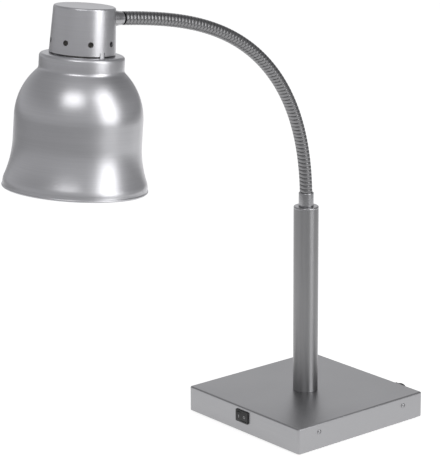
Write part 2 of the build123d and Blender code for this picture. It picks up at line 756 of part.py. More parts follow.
def pole_cap():
    """Turned cap that closes the top of the tube and takes the neck's ferrule."""
    spigot_r = POLE_R - POLE_WALL - POLE_PLUG_GAP
    low = POLE_CAP_Z - POLE_CAP_SPIGOT
    stations = [
        (spigot_r, low),
        (spigot_r, POLE_CAP_Z),
        (POLE_R, POLE_CAP_Z),
        (POLE_R, POLE_TOP - POLE_CAP_CHAMFER),
        (POLE_R - POLE_CAP_CHAMFER, POLE_TOP),
    ]
    return faceted(stations, SPUN_SIDES) - rod(FERRULE_THREAD_R + THREAD_GAP, low, POLE_TOP)


# Flexible neck

def joint_socket(end):
    """The room that a joint's stub moves in, below a joint centre at a height."""
    floor = end - JOINT_SOCKET
    stations = [(NECK_BORE_R, floor - JOINT_SOCKET_CONE), (JOINT_SOCKET_R, floor), (JOINT_SOCKET_R, end)]
    return faceted(stations, NECK_SIDES)


def joint_stub():
    """The stub that reaches down past a joint centre at the origin."""
    inside = JOINT_HALF_GAP + CUT_PAST
    stations = [(JOINT_STUB_TIP_R, -JOINT_STUB), (JOINT_STUB_R, JOINT_HALF_GAP), (JOINT_STUB_R, inside)]
    return faceted(stations, NECK_SIDES)


def neck_link():
    """One link: a length of ribbed hose with a stub at its foot and a socket at its head."""
    end = NECK_LINK_LENGTH
    stations = [(NECK_ROOT_R, JOINT_HALF_GAP)]
    for rib in range(NECK_RIBS):
        middle = (rib + 0.5) * NECK_PITCH
        valley = (rib + 1) * NECK_PITCH
        if rib == NECK_RIBS - 1:
            valley = end - JOINT_HALF_GAP
        stations.append((NECK_CREST_R, middle - NECK_CREST / 2))
        stations.append((NECK_CREST_R, middle + NECK_CREST / 2))
        stations.append((NECK_ROOT_R, valley))
    bore = faceted([(NECK_BORE_R, -JOINT_STUB), (NECK_BORE_R, end)], NECK_SIDES)
    return faceted(stations, NECK_SIDES) + joint_stub() - bore - joint_socket(end)


def neck_links():
    """Every link in its place, by name, from the pole to the shade."""
    link = neck_link()
    links = {}
    for number in range(NECK_LINKS):
        place = Location(JOINT_CENTRES[number], (JOINT_ANGLES[number], 0, 0))
        links[f"neck_link_{number + 1:02d}"] = place * link
    return links


def lower_ferrule():
    """Ferrule screwed into the pole's cap, with the socket of the first joint in its top."""
    top = POLE_TOP + LOWER_FERRULE_LENGTH
    low = POLE_CAP_Z - POLE_CAP_SPIGOT
    stations = [
        (FERRULE_THREAD_R, low),
        (FERRULE_THREAD_R, POLE_TOP),
        (LOWER_FERRULE_R, POLE_TOP),
        (LOWER_FERRULE_R, top - LOWER_FERRULE_CHAMFER),
        (LOWER_FERRULE_R - LOWER_FERRULE_CHAMFER, top),
    ]
    body = faceted(stations, TURNED_SIDES) - rod(NECK_BORE_R, low, top)
    return body - joint_socket(top + JOINT_HALF_GAP)


def upper_ferrule():
    """Ferrule that swells to the cap, shaped to its round wall, with a threaded nipple beyond."""
    wall = JOINT_HALF_GAP + UPPER_FERRULE_LENGTH
    stations = [
        (NECK_ROOT_R, JOINT_HALF_GAP),
        (NECK_CREST_R, JOINT_HALF_GAP + UPPER_FERRULE_RIB),
        (UPPER_FERRULE_R, UPPER_FERRULE_TAPER),
        (UPPER_FERRULE_R, wall + UPPER_FERRULE_LAP),
    ]
    body = LAST_JOINT * faceted(stations, TURNED_SIDES) - HOOD * cap_form(0)
    end = NECK_TO_AXIS - NIPPLE_INNER_END
    body += LAST_JOINT * rod(FERRULE_THREAD_R, wall - UPPER_FERRULE_LAP, end)
    body += LAST_JOINT * joint_stub()
    return body - LAST_JOINT * rod(NECK_BORE_R, -JOINT_STUB, end)


def nipple_nut():
    """Nut on the nipple inside the cap, which clamps the bracket to the cap's wall."""
    high = NECK_TO_AXIS - bracket_flange_y() + BRACKET_SHEET
    nut = hexagon(NIPPLE_NUT_AF, high, high + NIPPLE_NUT)
    return LAST_JOINT * (nut - rod(FERRULE_THREAD_R + THREAD_GAP, high, high + NIPPLE_NUT))


# Cap

def cap_form(inset):
    """The cap's form, drawn in by a wall, down to the foot of its spacer tabs."""
    edge_r = CAP_EDGE_R - inset
    foot = (cap_radius(SHADE_TOP_DEPTH) - inset, -SHADE_TOP_DEPTH)
    edge = CenterArc((cap_radius(0) - CAP_EDGE_R, -CAP_EDGE_R), edge_r, 0, 90)
    return faceted([foot, *stations_along([edge])], SPUN_SIDES)


def vent_angles():
    """Angles of the vents round the cap, which straddle the neck."""
    step = 360 / VENT_COUNT
    return [90 + step / 2 + step * vent for vent in range(VENT_COUNT)]


def cap():
    """Cap with vents, a hole for the neck's nipple, and tabs that stand on the shade."""
    depth = SHADE_TOP_DEPTH
    shell = cap_form(0) - cap_form(CAP_WALL)
    outside = 2 * CAP_BOTTOM_R
    gap = rod(outside, -depth, -CAP_HEIGHT)
    slits = []
    for number in range(SPACER_COUNT):
        turn = Rot(0, 0, 360 / SPACER_COUNT * number)
        tab = Box(CAP_TOP_R, SPACER_WIDTH, SHADE_GAP, align=FROM_BOTTOM)
        gap -= turn * Pos(CAP_BOTTOM_R, 0, -depth) * tab
        for side in (-1, 1):
            slit = Box(CAP_TOP_R, SPACER_SLIT, SPACER_SLIT_HEIGHT + SHADE_GAP, align=FROM_BOTTOM)
            across = side * (SPACER_WIDTH + SPACER_SLIT) / 2
            slits.append(turn * Pos(CAP_BOTTOM_R, across, -depth) * slit)
    shell -= gap
    for slit in slits:
        shell -= slit
    for angle in vent_angles():
        hole = Pos(0, 0, -VENT_DEPTH) * Rot(0, 90, angle) * Cylinder(VENT_R, outside, align=FROM_BOTTOM)
        shell -= hole
    hole = Pos(0, 0, -NECK_DEPTH) * Rot(-90, 0, 0) * Cylinder(
        FERRULE_THREAD_R + SCREW_CLEARANCE, outside, align=FROM_BOTTOM
    )
    return HOOD * (shell - hole)


# Shade

def shade_line(inset):
    """Half outline of the shade from its opening to its rim, drawn in by an inset."""
    top = -SHADE_TOP_DEPTH - inset
    collar_r = SHADE_COLLAR_R - inset
    corner_r = SHADE_CORNER_R - inset
    groove_r = SHADE_GROOVE_R + inset
    dome_r = SHADE_DOME_R - inset
    flare_r = SHADE_FLARE_R + inset
    lip_r = SHADE_LIP_R - inset
    straight_end = -SHADE_DOME_DEPTH - SHADE_STRAIGHT
    shoulder = Line((SHADE_OPENING_R, top), (collar_r - corner_r, top))
    corner = CenterArc((collar_r - corner_r, top - corner_r), corner_r, 90, -90)
    groove_at = SHADE_COLLAR_R + SHADE_GROOVE_R
    slant = degrees(acos(groove_at / (SHADE_DOME_R + SHADE_GROOVE_R)))
    groove_z = groove_at * tan(radians(slant)) - SHADE_DOME_DEPTH
    groove = CenterArc((groove_at, groove_z), groove_r, 180, slant)
    dome = CenterArc((0, -SHADE_DOME_DEPTH), dome_r, slant, -slant)
    collar = Line(corner @ 1, groove @ 0)
    straight = Line(dome @ 1, (dome_r, straight_end))
    flare = CenterArc((dome_r + flare_r, straight_end), flare_r, 180, SHADE_FLARE_ANGLE)
    slope = radians(SHADE_FLARE_ANGLE)
    lip_centre = (flare @ 1) - Vector(cos(slope), sin(slope)) * lip_r
    lip = CenterArc((lip_centre.X, lip_centre.Y), lip_r, SHADE_FLARE_ANGLE, -SHADE_FLARE_ANGLE)
    bead_at = (lip_centre.X + SHADE_LIP_R - SHADE_WALL / 2, -SHADE_DEPTH + SHADE_BEAD_R)
    meeting = degrees(acos((lip_centre.X + lip_r - bead_at[0]) / SHADE_BEAD_R))
    bead = CenterArc(bead_at, SHADE_BEAD_R, meeting, -90 - meeting)
    if inset:
        bead = CenterArc(bead_at, SHADE_BEAD_R, meeting, 270 - meeting)
    hem = Line(lip @ 1, bead @ 0)
    return [shoulder, corner, collar, groove, dome, straight, flare, lip, hem, bead]


def shade():
    """Spun bell with a flat shoulder, a collar, a round dome and a flared mouth with a rolled bead."""
    outer = stations_along(shade_line(0))
    inner = stations_along(shade_line(SHADE_WALL))
    return HOOD * faceted([*outer, *reversed(inner[:-1])], SPUN_SIDES, closed=True)


# Bracket and lamp holder

def bracket_flange_y():
    """How far the bracket's flange stands from the hood's axis, to touch the cap's round wall."""
    inner_r = (cap_radius(BRACKET_TOP) - CAP_WALL) * cos(pi / SPUN_SIDES)
    return sqrt(inner_r**2 - (BRACKET_WIDTH / 2) ** 2) - THREAD_GAP


def holder_bracket():
    """Bent strip from the neck's nipple to the top of the lamp holder."""
    back = bracket_flange_y()
    depth = HOLDER_TOP_DEPTH - BRACKET_TOP
    flange = Pos(0, back, -BRACKET_TOP) * Box(
        BRACKET_WIDTH, BRACKET_SHEET, depth, align=(Align.CENTER, Align.MAX, Align.MAX)
    )
    leg = Pos(0, back, -BRACKET_DEPTH) * Box(
        BRACKET_WIDTH, back + BRACKET_FRONT, BRACKET_SHEET, align=(Align.CENTER, Align.MAX, Align.MAX)
    )
    strip = flange + leg
    heel = strip.edges().filter_by(Axis.X).group_by(Axis.Y)[-1].group_by(Axis.Z)[0]
    strip = fillet(heel, BRACKET_BEND_R)
    strip = chamfer(strip.edges().filter_by(Axis.Z).group_by(Axis.Y)[0], BRACKET_FRONT_CHAMFER)
    strip = chamfer(strip.edges().filter_by(Axis.Y).group_by(Axis.Z)[-1], BRACKET_TOP_CHAMFER)
    strip -= Pos(0, 0, -NECK_DEPTH) * Rot(-90, 0, 0) * rod(FERRULE_THREAD_R + SCREW_CLEARANCE, 0, back)
    strip -= rod(LEAD_R + BRACKET_LEAD_GAP, -HOLDER_TOP_DEPTH, -BRACKET_DEPTH)
    for y in (-HOLDER_SCREW_SPREAD, HOLDER_SCREW_SPREAD):
        strip -= Pos(0, y, 0) * rod(HOLDER_SCREW_R + SCREW_CLEARANCE, -HOLDER_TOP_DEPTH, -BRACKET_DEPTH)
    return HOOD * strip


def holder_screws():
    """Two screws from the bracket into the holder's body."""
    one = screw(HOLDER_SCREW_R, HOLDER_SCREW_LENGTH, HOLDER_SCREW_HEAD_R, HOLDER_SCREW_HEAD)
    spread = (-HOLDER_SCREW_SPREAD, HOLDER_SCREW_SPREAD)
    return Compound([HOOD * Pos(0, y, -BRACKET_DEPTH) * one for y in spread])


def lampholder_body():
    """Ceramic body, open at its mouth for the lamp's cap."""
    top = -HOLDER_TOP_DEPTH
    mouth = top - HOLDER_HEIGHT
    stations = [(HOLDER_R, mouth), (HOLDER_R, top - HOLDER_EDGE), (HOLDER_R - HOLDER_EDGE, top)]
    body = faceted(stations, TURNED_SIDES) - rod(HOLDER_BORE_R, mouth, -HOLDER_FLOOR_DEPTH)
    body -= rod(HOLDER_ENTRY_R, -HOLDER_FLOOR_DEPTH, top)
    for y in (-HOLDER_SCREW_SPREAD, HOLDER_SCREW_SPREAD):
        body -= Pos(0, y, 0) * rod(HOLDER_SCREW_R + THREAD_GAP, top - HOLDER_SCREW_LENGTH, top)
    return HOOD * body


def lampholder_shell():
    """Thin metal socket that the lamp's cap screws into."""
    high = -HOLDER_FLOOR_DEPTH - CONTACT_HEIGHT
    return HOOD * tube(SOCKET_R + SOCKET_WALL, SOCKET_R, high - SOCKET_LENGTH, high)


def lampholder_contact():
    """Centre contact on the holder's floor."""
    high = -HOLDER_FLOOR_DEPTH
    rivet = rod(CONTACT_R, high - CONTACT_HEIGHT / 2, high)
    rivet += rod(CONTACT_R / 2, high - CONTACT_HEIGHT, high)
    return HOOD * rivet


# Reflector lamp, with depths measured down from its own tip

def lamp_place():
    """The lamp's own frame in the hood, with its tip at the origin."""
    return HOOD * Pos(0, 0, -LAMP_TIP_DEPTH)


def lamp_tip():
    """Solder tip and the insulator round it."""
    collet = -LAMP_TIP - LAMP_COLLET
    return lamp_place() * (rod(LAMP_TIP_R, -LAMP_TIP, 0) + rod(LAMP_COLLET_R, collet, -LAMP_TIP))


def lamp_cap():
    """Thin metal screw cap."""
    high = -LAMP_TIP - LAMP_COLLET
    low = -LAMP_CAP_LENGTH - LAMP_TIP
    cup = rod(LAMP_CAP_R, low, high) - rod(LAMP_CAP_R - LAMP_CAP_WALL, low, high - LAMP_CAP_WALL)
    return lamp_place() * cup


def lamp_line(inset):
    """Half outline of the glass from its mouth in the cap to its front, drawn in by an inset."""
    low = -LAMP_CAP_LENGTH - LAMP_TIP
    stem_end = low - LAMP_STEM_BELOW
    widest = LAMP_R - LAMP_EDGE_R
    face_z = LAMP_FACE_R - LAMP_LENGTH
    edge_z = face_z - sqrt((LAMP_FACE_R - LAMP_EDGE_R) ** 2 - widest**2)
    stem_r = LAMP_STEM_R - inset
    neck_r = LAMP_NECK_R - inset
    edge_r = LAMP_EDGE_R - inset
    waist_r = LAMP_WAIST_R + inset
    waist = Vector(LAMP_NECK_R + LAMP_WAIST_R, -LAMP_NECK_END)
    run = waist - Vector(widest, edge_z)
    slant = degrees(atan2(run.Y, run.X)) - degrees(acos((LAMP_WAIST_R + LAMP_EDGE_R) / run.length))
    meeting = degrees(atan2(edge_z - face_z, widest))
    flat = degrees(asin(LAMP_FRONT_FLAT / LAMP_FACE_R))
    stem = Line((stem_r, low + LAMP_STEM), (stem_r, stem_end))
    neck = Line((neck_r, stem_end - LAMP_SHOULDER), (neck_r, waist.Y))
    shoulder = Line(stem @ 1, neck @ 0)
    bend = CenterArc((waist.X, waist.Y), waist_r, 180, slant)
    edge = CenterArc((widest, edge_z), edge_r, slant, meeting - slant)
    cone = Line(bend @ 1, edge @ 0)
    face = CenterArc((0, face_z), LAMP_FACE_R - inset, meeting, flat - 90 - meeting)
    return [stem, shoulder, neck, bend, cone, edge, face]


def lamp_glass():
    """Thin glass envelope, open in the cap."""
    outer = stations_along(lamp_line(0))
    inner = stations_along(lamp_line(LAMP_GLASS))
    return lamp_place() * faceted([*reversed(outer), *inner], TURNED_SIDES)


def all_parts():
    """Every piece by the name of its node."""
    ways = block_ways()
    return {
        "base_cover": base_cover(),
        "cover_screws": cover_screws(),
        "bottom_plate": bottom_plate(),
        "rubber_mat": rubber_mat(),
        "ballast_weight": ballast_weight(),
        "ballast_screws": ballast_screws(),
        "switch_housing": switch_housing(),
        "switch_rocker": switch_rocker(),
        "switch_terminals": switch_terminals(),
        "gland_body": gland_body(),
        "gland_seal": gland_seal(),
        "gland_dome_nut": gland_dome_nut(),
        "gland_locknut": gland_locknut(),
        "terminal_block": terminal_block(),
        "terminal_screws": terminal_screws(),
        "earth_stud": earth_stud(),
        "earth_ring": earth_ring(),
        "earth_nut": earth_nut(),
        "switch_lead_in": switch_lead(-1, ways[0]),
        "switch_lead_out": switch_lead(1, ways[1]),
        "earth_lead": earth_lead(),
        "pole_foot_plug": pole_foot_plug(),
        "pole_washer": pole_washer(),
        "pole_nut": pole_nut(),
        "pole_tube": pole_tube(),
        "pole_cap": pole_cap(),
        "lower_ferrule": lower_ferrule(),
        **neck_links(),
        "lamp_lead": lamp_lead(),
        "upper_ferrule": upper_ferrule(),
        "nipple_nut": nipple_nut(),
        "cap": cap(),
        "shade": shade(),
        "holder_bracket": holder_bracket(),
        "holder_screws": holder_screws(),
        "lampholder_body": lampholder_body(),
        "lampholder_shell": lampholder_shell(),
        "lampholder_contact": lampholder_contact(),
        "lamp_tip": lamp_tip(),
        "lamp_cap": lamp_cap(),
        "lamp_glass": lamp_glass(),
    }


os.makedirs("parts", exist_ok=True)
for name, solid in all_parts().items():
    export_step(solid, f"parts/{name}.step")
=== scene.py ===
"""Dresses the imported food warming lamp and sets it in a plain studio.

Metres, +Z up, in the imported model's own frame. The neck bends in the YZ plane and the shade hangs
out towards -Y, over the side with the switch.
"""

import json
import logging
import math
from collections.abc import Callable
from dataclasses import dataclass
from enum import Enum
from functools import cache

import bmesh
import bpy
from mathutils import Matrix, Vector
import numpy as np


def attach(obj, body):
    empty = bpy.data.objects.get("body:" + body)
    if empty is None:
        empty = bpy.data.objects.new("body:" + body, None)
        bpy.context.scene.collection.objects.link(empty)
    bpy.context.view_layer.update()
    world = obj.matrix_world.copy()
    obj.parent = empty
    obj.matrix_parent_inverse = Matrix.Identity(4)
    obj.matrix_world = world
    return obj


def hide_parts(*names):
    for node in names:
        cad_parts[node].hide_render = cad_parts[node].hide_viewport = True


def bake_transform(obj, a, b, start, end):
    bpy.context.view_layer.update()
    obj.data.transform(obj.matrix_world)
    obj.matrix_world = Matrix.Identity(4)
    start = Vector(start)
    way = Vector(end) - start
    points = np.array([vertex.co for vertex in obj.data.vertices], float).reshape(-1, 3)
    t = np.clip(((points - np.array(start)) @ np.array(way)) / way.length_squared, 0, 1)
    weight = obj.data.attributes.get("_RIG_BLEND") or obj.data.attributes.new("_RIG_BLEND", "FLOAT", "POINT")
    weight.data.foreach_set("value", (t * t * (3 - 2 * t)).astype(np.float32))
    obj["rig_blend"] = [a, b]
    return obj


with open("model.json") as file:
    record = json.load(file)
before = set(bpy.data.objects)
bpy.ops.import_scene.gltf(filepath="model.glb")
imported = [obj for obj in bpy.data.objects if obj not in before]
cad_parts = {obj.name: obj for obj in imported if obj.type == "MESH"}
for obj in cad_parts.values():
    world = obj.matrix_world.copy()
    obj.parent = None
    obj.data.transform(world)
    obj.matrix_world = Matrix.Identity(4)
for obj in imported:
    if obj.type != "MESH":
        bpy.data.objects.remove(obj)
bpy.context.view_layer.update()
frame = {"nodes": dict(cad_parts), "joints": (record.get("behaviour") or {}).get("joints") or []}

LOG = logging.getLogger("food_warming_lamp")
MM = 0.001
SHARP_ANGLE = math.radians(32)
CORNER_ANGLE = math.radians(50)
SAME_POINT = 1e-6
STRAIGHT = 0.99  # share of an edge's length that lies along an axis, for the edge to run along it
REACH = 3.0  # millimetres that a cutter goes past what it cuts

Pair = tuple[float, float]
Triple = tuple[float, float, float]
Mesh = bmesh.types.BMesh
EdgeTest = Callable[[bmesh.types.BMEdge], bool]


class Body(Enum):
    """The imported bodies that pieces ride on."""

    BASE = "base"
    ROCKER = "rocker"
    HOOD = "hood"


class Slot(Enum):
    """The record's material slots."""

    HOUSING = "housing"
    POLE = "pole_steel"
    NECK = "neck"
    CHROME = "fitting_chrome"
    HOOD = "hood_metal"
    SWITCH = "switch_black"
    GLAND = "gland_plastic"
    BRASS = "brass_parts"
    SHEATH = "lead_sheath"
    ENVELOPE = "lamp_envelope"


class Grain(Enum):
    """The way a metal was finished: along the sheet, round its own axis, or not at all."""

    ALONG_X = (0.6, 60.0, 60.0)
    ALONG_Z = (60.0, 60.0, 0.6)
    TURNED = (0.6, 0.6, 60.0)
    PLAIN = (8.0, 8.0, 8.0)


# Meshes


def shift(x: float, y: float, z: float) -> Matrix:
    """A move, given in millimetres."""
    return Matrix.Translation(Vector((x, y, z)) * MM)


def turn(degrees: float, axis: str) -> Matrix:
    """A turn about one of the axes."""
    return Matrix.Rotation(math.radians(degrees), 4, axis)


def add_point(bm: Mesh, x: float, y: float, z: float) -> bmesh.types.BMVert:
    """Adds one vertex, given in millimetres."""
    return bm.verts.new((x * MM, y * MM, z * MM))


def picked(items: list, kind: type) -> list:
    """The points, edges or faces among what an operator gives back."""
    return [item for item in items if isinstance(item, kind)]


@dataclass
class Outline:
    """Half outline of a turned piece, as radius and height in millimetres."""

    points: list[Pair]

    def through(self, *points: Pair) -> "Outline":
        """Runs straight from point to point."""
        self.points += points
        return self

    def arc(self, centre: Pair, radius: float, start: float, sweep: float, steps: int = 8) -> "Outline":
        """Runs round an arc.

        Args:
            centre: The arc's centre, as radius and height.
            radius: The arc's own radius.
            start: Angle of its start in degrees, 0 outwards and 90 up.
            sweep: Angle that it turns through.
            steps: Straight steps that it is drawn with.

        Returns:
            This outline.
        """
        for step in range(steps + 1):
            angle = math.radians(start + sweep * step / steps)
            self.points.append((centre[0] + radius * math.cos(angle), centre[1] + radius * math.sin(angle)))
        return self


def lathe(outline: Outline, closed: bool = True, segments: int = 96) -> Mesh:
    """Spins an outline round the Z axis.

    Args:
        outline: The half outline.
        closed: Whether the outline's end joins its start.
        segments: Steps round the axis.

    Returns:
        The turned mesh, with its faces outwards.
    """
    bm = bmesh.new()
    verts = [add_point(bm, radius, 0, height) for radius, height in outline.points]
    ends = verts[1:] + verts[:1] if closed else verts[1:]
    edges = [bm.edges.new(pair) for pair in zip(verts, ends)]
    bmesh.ops.spin(bm, geom=verts + edges, cent=(0, 0, 0), axis=(0, 0, 1), dvec=(0, 0, 0),
                   angle=2 * math.pi, steps=segments, use_merge=True, use_duplicate=False)
    bmesh.ops.remove_doubles(bm, verts=bm.verts, dist=SAME_POINT)
    bmesh.ops.dissolve_degenerate(bm, edges=bm.edges, dist=SAME_POINT / 10)
    bmesh.ops.recalc_face_normals(bm, faces=bm.faces)
    return bm


def rod(radius: float, low: float, high: float, segments: int) -> Mesh:
    """A round block on the Z axis, between two heights."""
    return lathe(Outline([(0, low), (radius, low), (radius, high), (0, high)]), False, segments)


def wind(profile: list[Triple], pitch: float, turns: int, around: int) -> Mesh:
    """Winds a strip upwards round the Z axis, each turn joined to the next.

    Args:
        profile: Points across the strip where it starts, one pitch high, in millimetres.
        pitch: How far a turn climbs.
        turns: How many turns there are.
        around: Steps to a turn.

    Returns:
        The wound mesh.
    """
    bm = bmesh.new()
    verts = [add_point(bm, *point) for point in profile]
    edges = [bm.edges.new(pair) for pair in zip(verts, verts[1:])]
    bmesh.ops.spin(bm, geom=verts + edges, cent=(0, 0, 0), axis=(0, 0, 1), dvec=(0, 0, pitch * MM / around),
                   angle=2 * math.pi * turns, steps=turns * around, use_merge=False, use_duplicate=False)
    bmesh.ops.remove_doubles(bm, verts=bm.verts, dist=SAME_POINT)
    bmesh.ops.recalc_face_normals(bm, faces=bm.faces)
    return bm


def block(low: Triple, high: Triple) -> Mesh:
    """A box between two corners in millimetres.

    Args:
        low: The corner with the lowest values.
        high: The corner with the highest.

    Returns:
        The box.
    """
    bm = bmesh.new()
    bmesh.ops.create_cube(bm, size=1.0)
    size = Vector(high) - Vector(low)
    bmesh.ops.scale(bm, vec=size * MM, verts=bm.verts)
    bmesh.ops.translate(bm, vec=(Vector(low) + size / 2) * MM, verts=bm.verts)
    return bm


def round_edges(bm: Mesh, radius: float, segments: int, chosen: EdgeTest) -> None:
    """Rounds the chosen edges.

    Args:
        bm: The mesh.
        radius: Width of the rounding in millimetres.
        segments: Steps across the rounding.
        chosen: Says of an edge whether it is rounded.
    """
    edges = [edge for edge in bm.edges if chosen(edge)]
    bmesh.ops.bevel(bm, geom=edges, offset=radius * MM, offset_type="OFFSET", affect="EDGES",
                    segments=segments, profile=0.5, material=-1, clamp_overlap=True)


def is_sharp(edge: bmesh.types.BMEdge) -> bool:
    """Whether an edge has a corner that wants rounding."""
    return len(edge.link_faces) == 2 and edge.calc_face_angle(0) > CORNER_ANGLE


def runs_along(axis: int) -> EdgeTest:
    """A test for sharp edges that run along one of the axes.

    Args:
        axis: The axis, as 0, 1 or 2.

    Returns:
        The test.
    """

    def test(edge: bmesh.types.BMEdge) -> bool:
        """Whether the edge is sharp and runs along the axis."""
        run = edge.verts[1].co - edge.verts[0].co
        return is_sharp(edge) and abs(run[axis]) > STRAIGHT * run.length

    return test


def at_level(axis: int, level: float) -> EdgeTest:
    """A test for sharp edges that lie in one plane, given in millimetres.

    Args:
        axis: The axis that stands upright on the plane.
        level: The plane's place along it.

    Returns:
        The test.
    """

    def test(edge: bmesh.types.BMEdge) -> bool:
        """Whether the edge is sharp and both its ends lie in the plane."""
        away = max(abs(vert.co[axis] - level * MM) for vert in edge.verts)
        return is_sharp(edge) and away < 10 * SAME_POINT

    return test


def move(bm: Mesh, matrix: Matrix) -> Mesh:
    """Moves a mesh by a matrix and gives it back."""
    bmesh.ops.transform(bm, matrix=matrix, verts=bm.verts)
    return bm


def draw_in(vert: bmesh.types.BMVert, radius: float) -> None:
    """Draws a point that lies outside a radius in to it.

    Args:
        vert: The point.
        radius: The radius from the Z axis in millimetres.
    """
    factor = min(1.0, radius / (vert.co.xy.length / MM))
    vert.co.x *= factor
    vert.co.y *= factor


def stored(name: str, bm: Mesh) -> bpy.types.Mesh:
    """Keeps a mesh under a name and frees what it was made in.

    Args:
        name: The mesh's name.
        bm: What it was made in.

    Returns:
        The mesh.
    """
    mesh = bpy.data.meshes.new(name)
    bm.to_mesh(mesh)
    bm.free()
    return mesh


def add_object(name: str, data: bpy.types.ID) -> bpy.types.Object:
    """Puts an object into the scene.

    Args:
        name: The object's name.
        data: Its mesh, curve, light or camera.

    Returns:
        The object.
    """
    item = bpy.data.objects.new(name, data)
    bpy.context.scene.collection.objects.link(item)
    return item


def join(*parts: Mesh) -> Mesh:
    """Puts several meshes into one and frees them.

    Args:
        *parts: The meshes.

    Returns:
        All of them as one.
    """
    whole = bmesh.new()
    for part in parts:
        mesh = stored("joining", part)
        whole.from_mesh(mesh)
        bpy.data.meshes.remove(mesh)
    return whole


def carve(bm: Mesh, *cutters: Mesh) -> Mesh:
    """Cuts meshes out of another, one after the other, and frees them all.

    Args:
        bm: The mesh that is cut.
        *cutters: The closed meshes that are taken away.

    Returns:
        What is left.
    """
    for cutter in cutters:
        helpers = [add_object(name, stored(name, part))
                   for name, part in (("carved", bm), ("cutter", cutter))]
        cut = helpers[0].modifiers.new("cut", "BOOLEAN")
        cut.operation = "DIFFERENCE"
        cut.solver = "EXACT"
        cut.object = helpers[1]
        bm = bmesh.new()
        bm.from_object(helpers[0], bpy.context.evaluated_depsgraph_get())
        for helper in helpers:
            mesh = helper.data
            bpy.data.objects.remove(helper)
            bpy.data.meshes.remove(mesh)
        bmesh.ops.remove_doubles(bm, verts=bm.verts, dist=SAME_POINT / 10)
    return bm


# Materials


@dataclass(frozen=True)
class Nodes:
    """Short forms for making and joining shader nodes."""

    tree: bpy.types.NodeTree

    def fill(self, node: bpy.types.Node, inputs: dict) -> None:
        """Sets a node's inputs, each from a plain value or from another node's socket.

        Args:
            node: The node.
            inputs: A value or a socket for each input's name or number.
        """
        for key, value in inputs.items():
            if isinstance(value, bpy.types.NodeSocket):
                self.tree.links.new(value, node.inputs[key])
            else:
                node.inputs[key].default_value = value

    def add(self, kind: str, inputs: dict | None = None, **values: object) -> bpy.types.Node:
        """Makes a node.

        Args:
            kind: The node's type.
            inputs: Its inputs, as fill takes them.
            **values: Its properties.

        Returns:
            The node.
        """
        node = self.tree.nodes.new(kind)
        for key, value in values.items():
            setattr(node, key, value)
        self.fill(node, inputs or {})
        return node

    def combine(self, operation: str, *values: object, clamp: bool = False) -> bpy.types.NodeSocket:
        """Works out one number from others, by a Math node's operation."""
        node = self.add("ShaderNodeMath", dict(enumerate(values)), operation=operation, use_clamp=clamp)
        return node.outputs[0]

    def fit(self, value: bpy.types.NodeSocket, source: Pair = (0.0, 1.0), target: Pair = (0.0, 1.0),
            interpolation: str = "LINEAR") -> bpy.types.NodeSocket:
        """Carries a number from one range to another.

        Args:
            value: The number.
            source: The range that it comes in.
            target: The range that it goes out in, where it also ends.
            interpolation: How it runs between the ends.

        Returns:
            The new number.
        """
        ends = {"From Min": source[0], "From Max": source[1], "To Min": target[0], "To Max": target[1]}
        return self.add("ShaderNodeMapRange", {"Value": value, **ends},
                        interpolation_type=interpolation).outputs["Result"]

    def mix(self, factor: bpy.types.NodeSocket, low: object, high: object,
            blend_type: str = "MIX") -> bpy.types.NodeSocket:
        """A colour between two, by a factor."""
        return self.add("ShaderNodeMix", {0: factor, 6: low, 7: high}, data_type="RGBA",
                        blend_type=blend_type).outputs[2]

    def noise(self, **inputs: object) -> bpy.types.NodeSocket:
        """A noise texture's value."""
        return self.add("ShaderNodeTexNoise", inputs).outputs["Fac"]

    def bump(self, height: bpy.types.NodeSocket, strength: float,
             distance: float = 0.0002) -> bpy.types.NodeSocket:
        """A normal that stands up and down with a height."""
        return self.add("ShaderNodeBump", {"Height": height, "Strength": strength,
                                           "Distance": distance}).outputs["Normal"]


def new_group(name: str, scale: float,
              outputs: tuple[str, ...]) -> tuple[Nodes, bpy.types.NodeOutputs, bpy.types.Node]:
    """Starts a node group that takes a vector and a scale.

    Args:
        name: The group's name.
        scale: What its scale starts at.
        outputs: Its number outputs.

    Returns:
        The group's nodes, its input sockets and the node that takes its results.
    """
    tree = bpy.data.node_groups.new(name, "ShaderNodeTree")
    tree.interface.new_socket("Vector", in_out="INPUT", socket_type="NodeSocketVector")
    tree.interface.new_socket("Scale", in_out="INPUT", socket_type="NodeSocketFloat").default_value = scale
    for key in outputs:
        tree.interface.new_socket(key, in_out="OUTPUT", socket_type="NodeSocketFloat")
    nodes = Nodes(tree)
    return nodes, nodes.add("NodeGroupInput").outputs, nodes.add("NodeGroupOutput")


@cache
def grain_group() -> bpy.types.NodeTree:
    """Fine streaks of a brushed or turned metal, as a mask and a height.

    Returns:
        The node group.
    """
    nodes, given, result = new_group("metal_grain", 60.0, ("Mask", "Height"))
    fine = nodes.noise(Vector=given["Vector"], Scale=given["Scale"], Detail=4.0, Roughness=0.65)
    broader = nodes.combine("MULTIPLY", given["Scale"], 0.27)
    coarse = nodes.noise(Vector=given["Vector"], Scale=broader, Detail=2.0)
    both = nodes.combine("ADD", fine, coarse)
    nodes.fill(result, {"Mask": nodes.combine("SUBTRACT", both, 0.5, clamp=True), "Height": fine})
    return nodes.tree


@cache
def smudge_group() -> bpy.types.NodeTree:
    """Broad soft patches, as left by handling and wiping.

    Returns:
        The node group.
    """
    nodes, given, result = new_group("handling_marks", 9.0, ("Patches",))
    patches = nodes.noise(Vector=given["Vector"], Scale=given["Scale"], Detail=5.0, Roughness=0.55,
                          Distortion=0.6)
    nodes.fill(result, {"Patches": patches})
    return nodes.tree


def ends_of(middle: float, spread: float) -> Pair:
    """The two ends of a spread."""
    return middle - spread / 2, middle + spread / 2


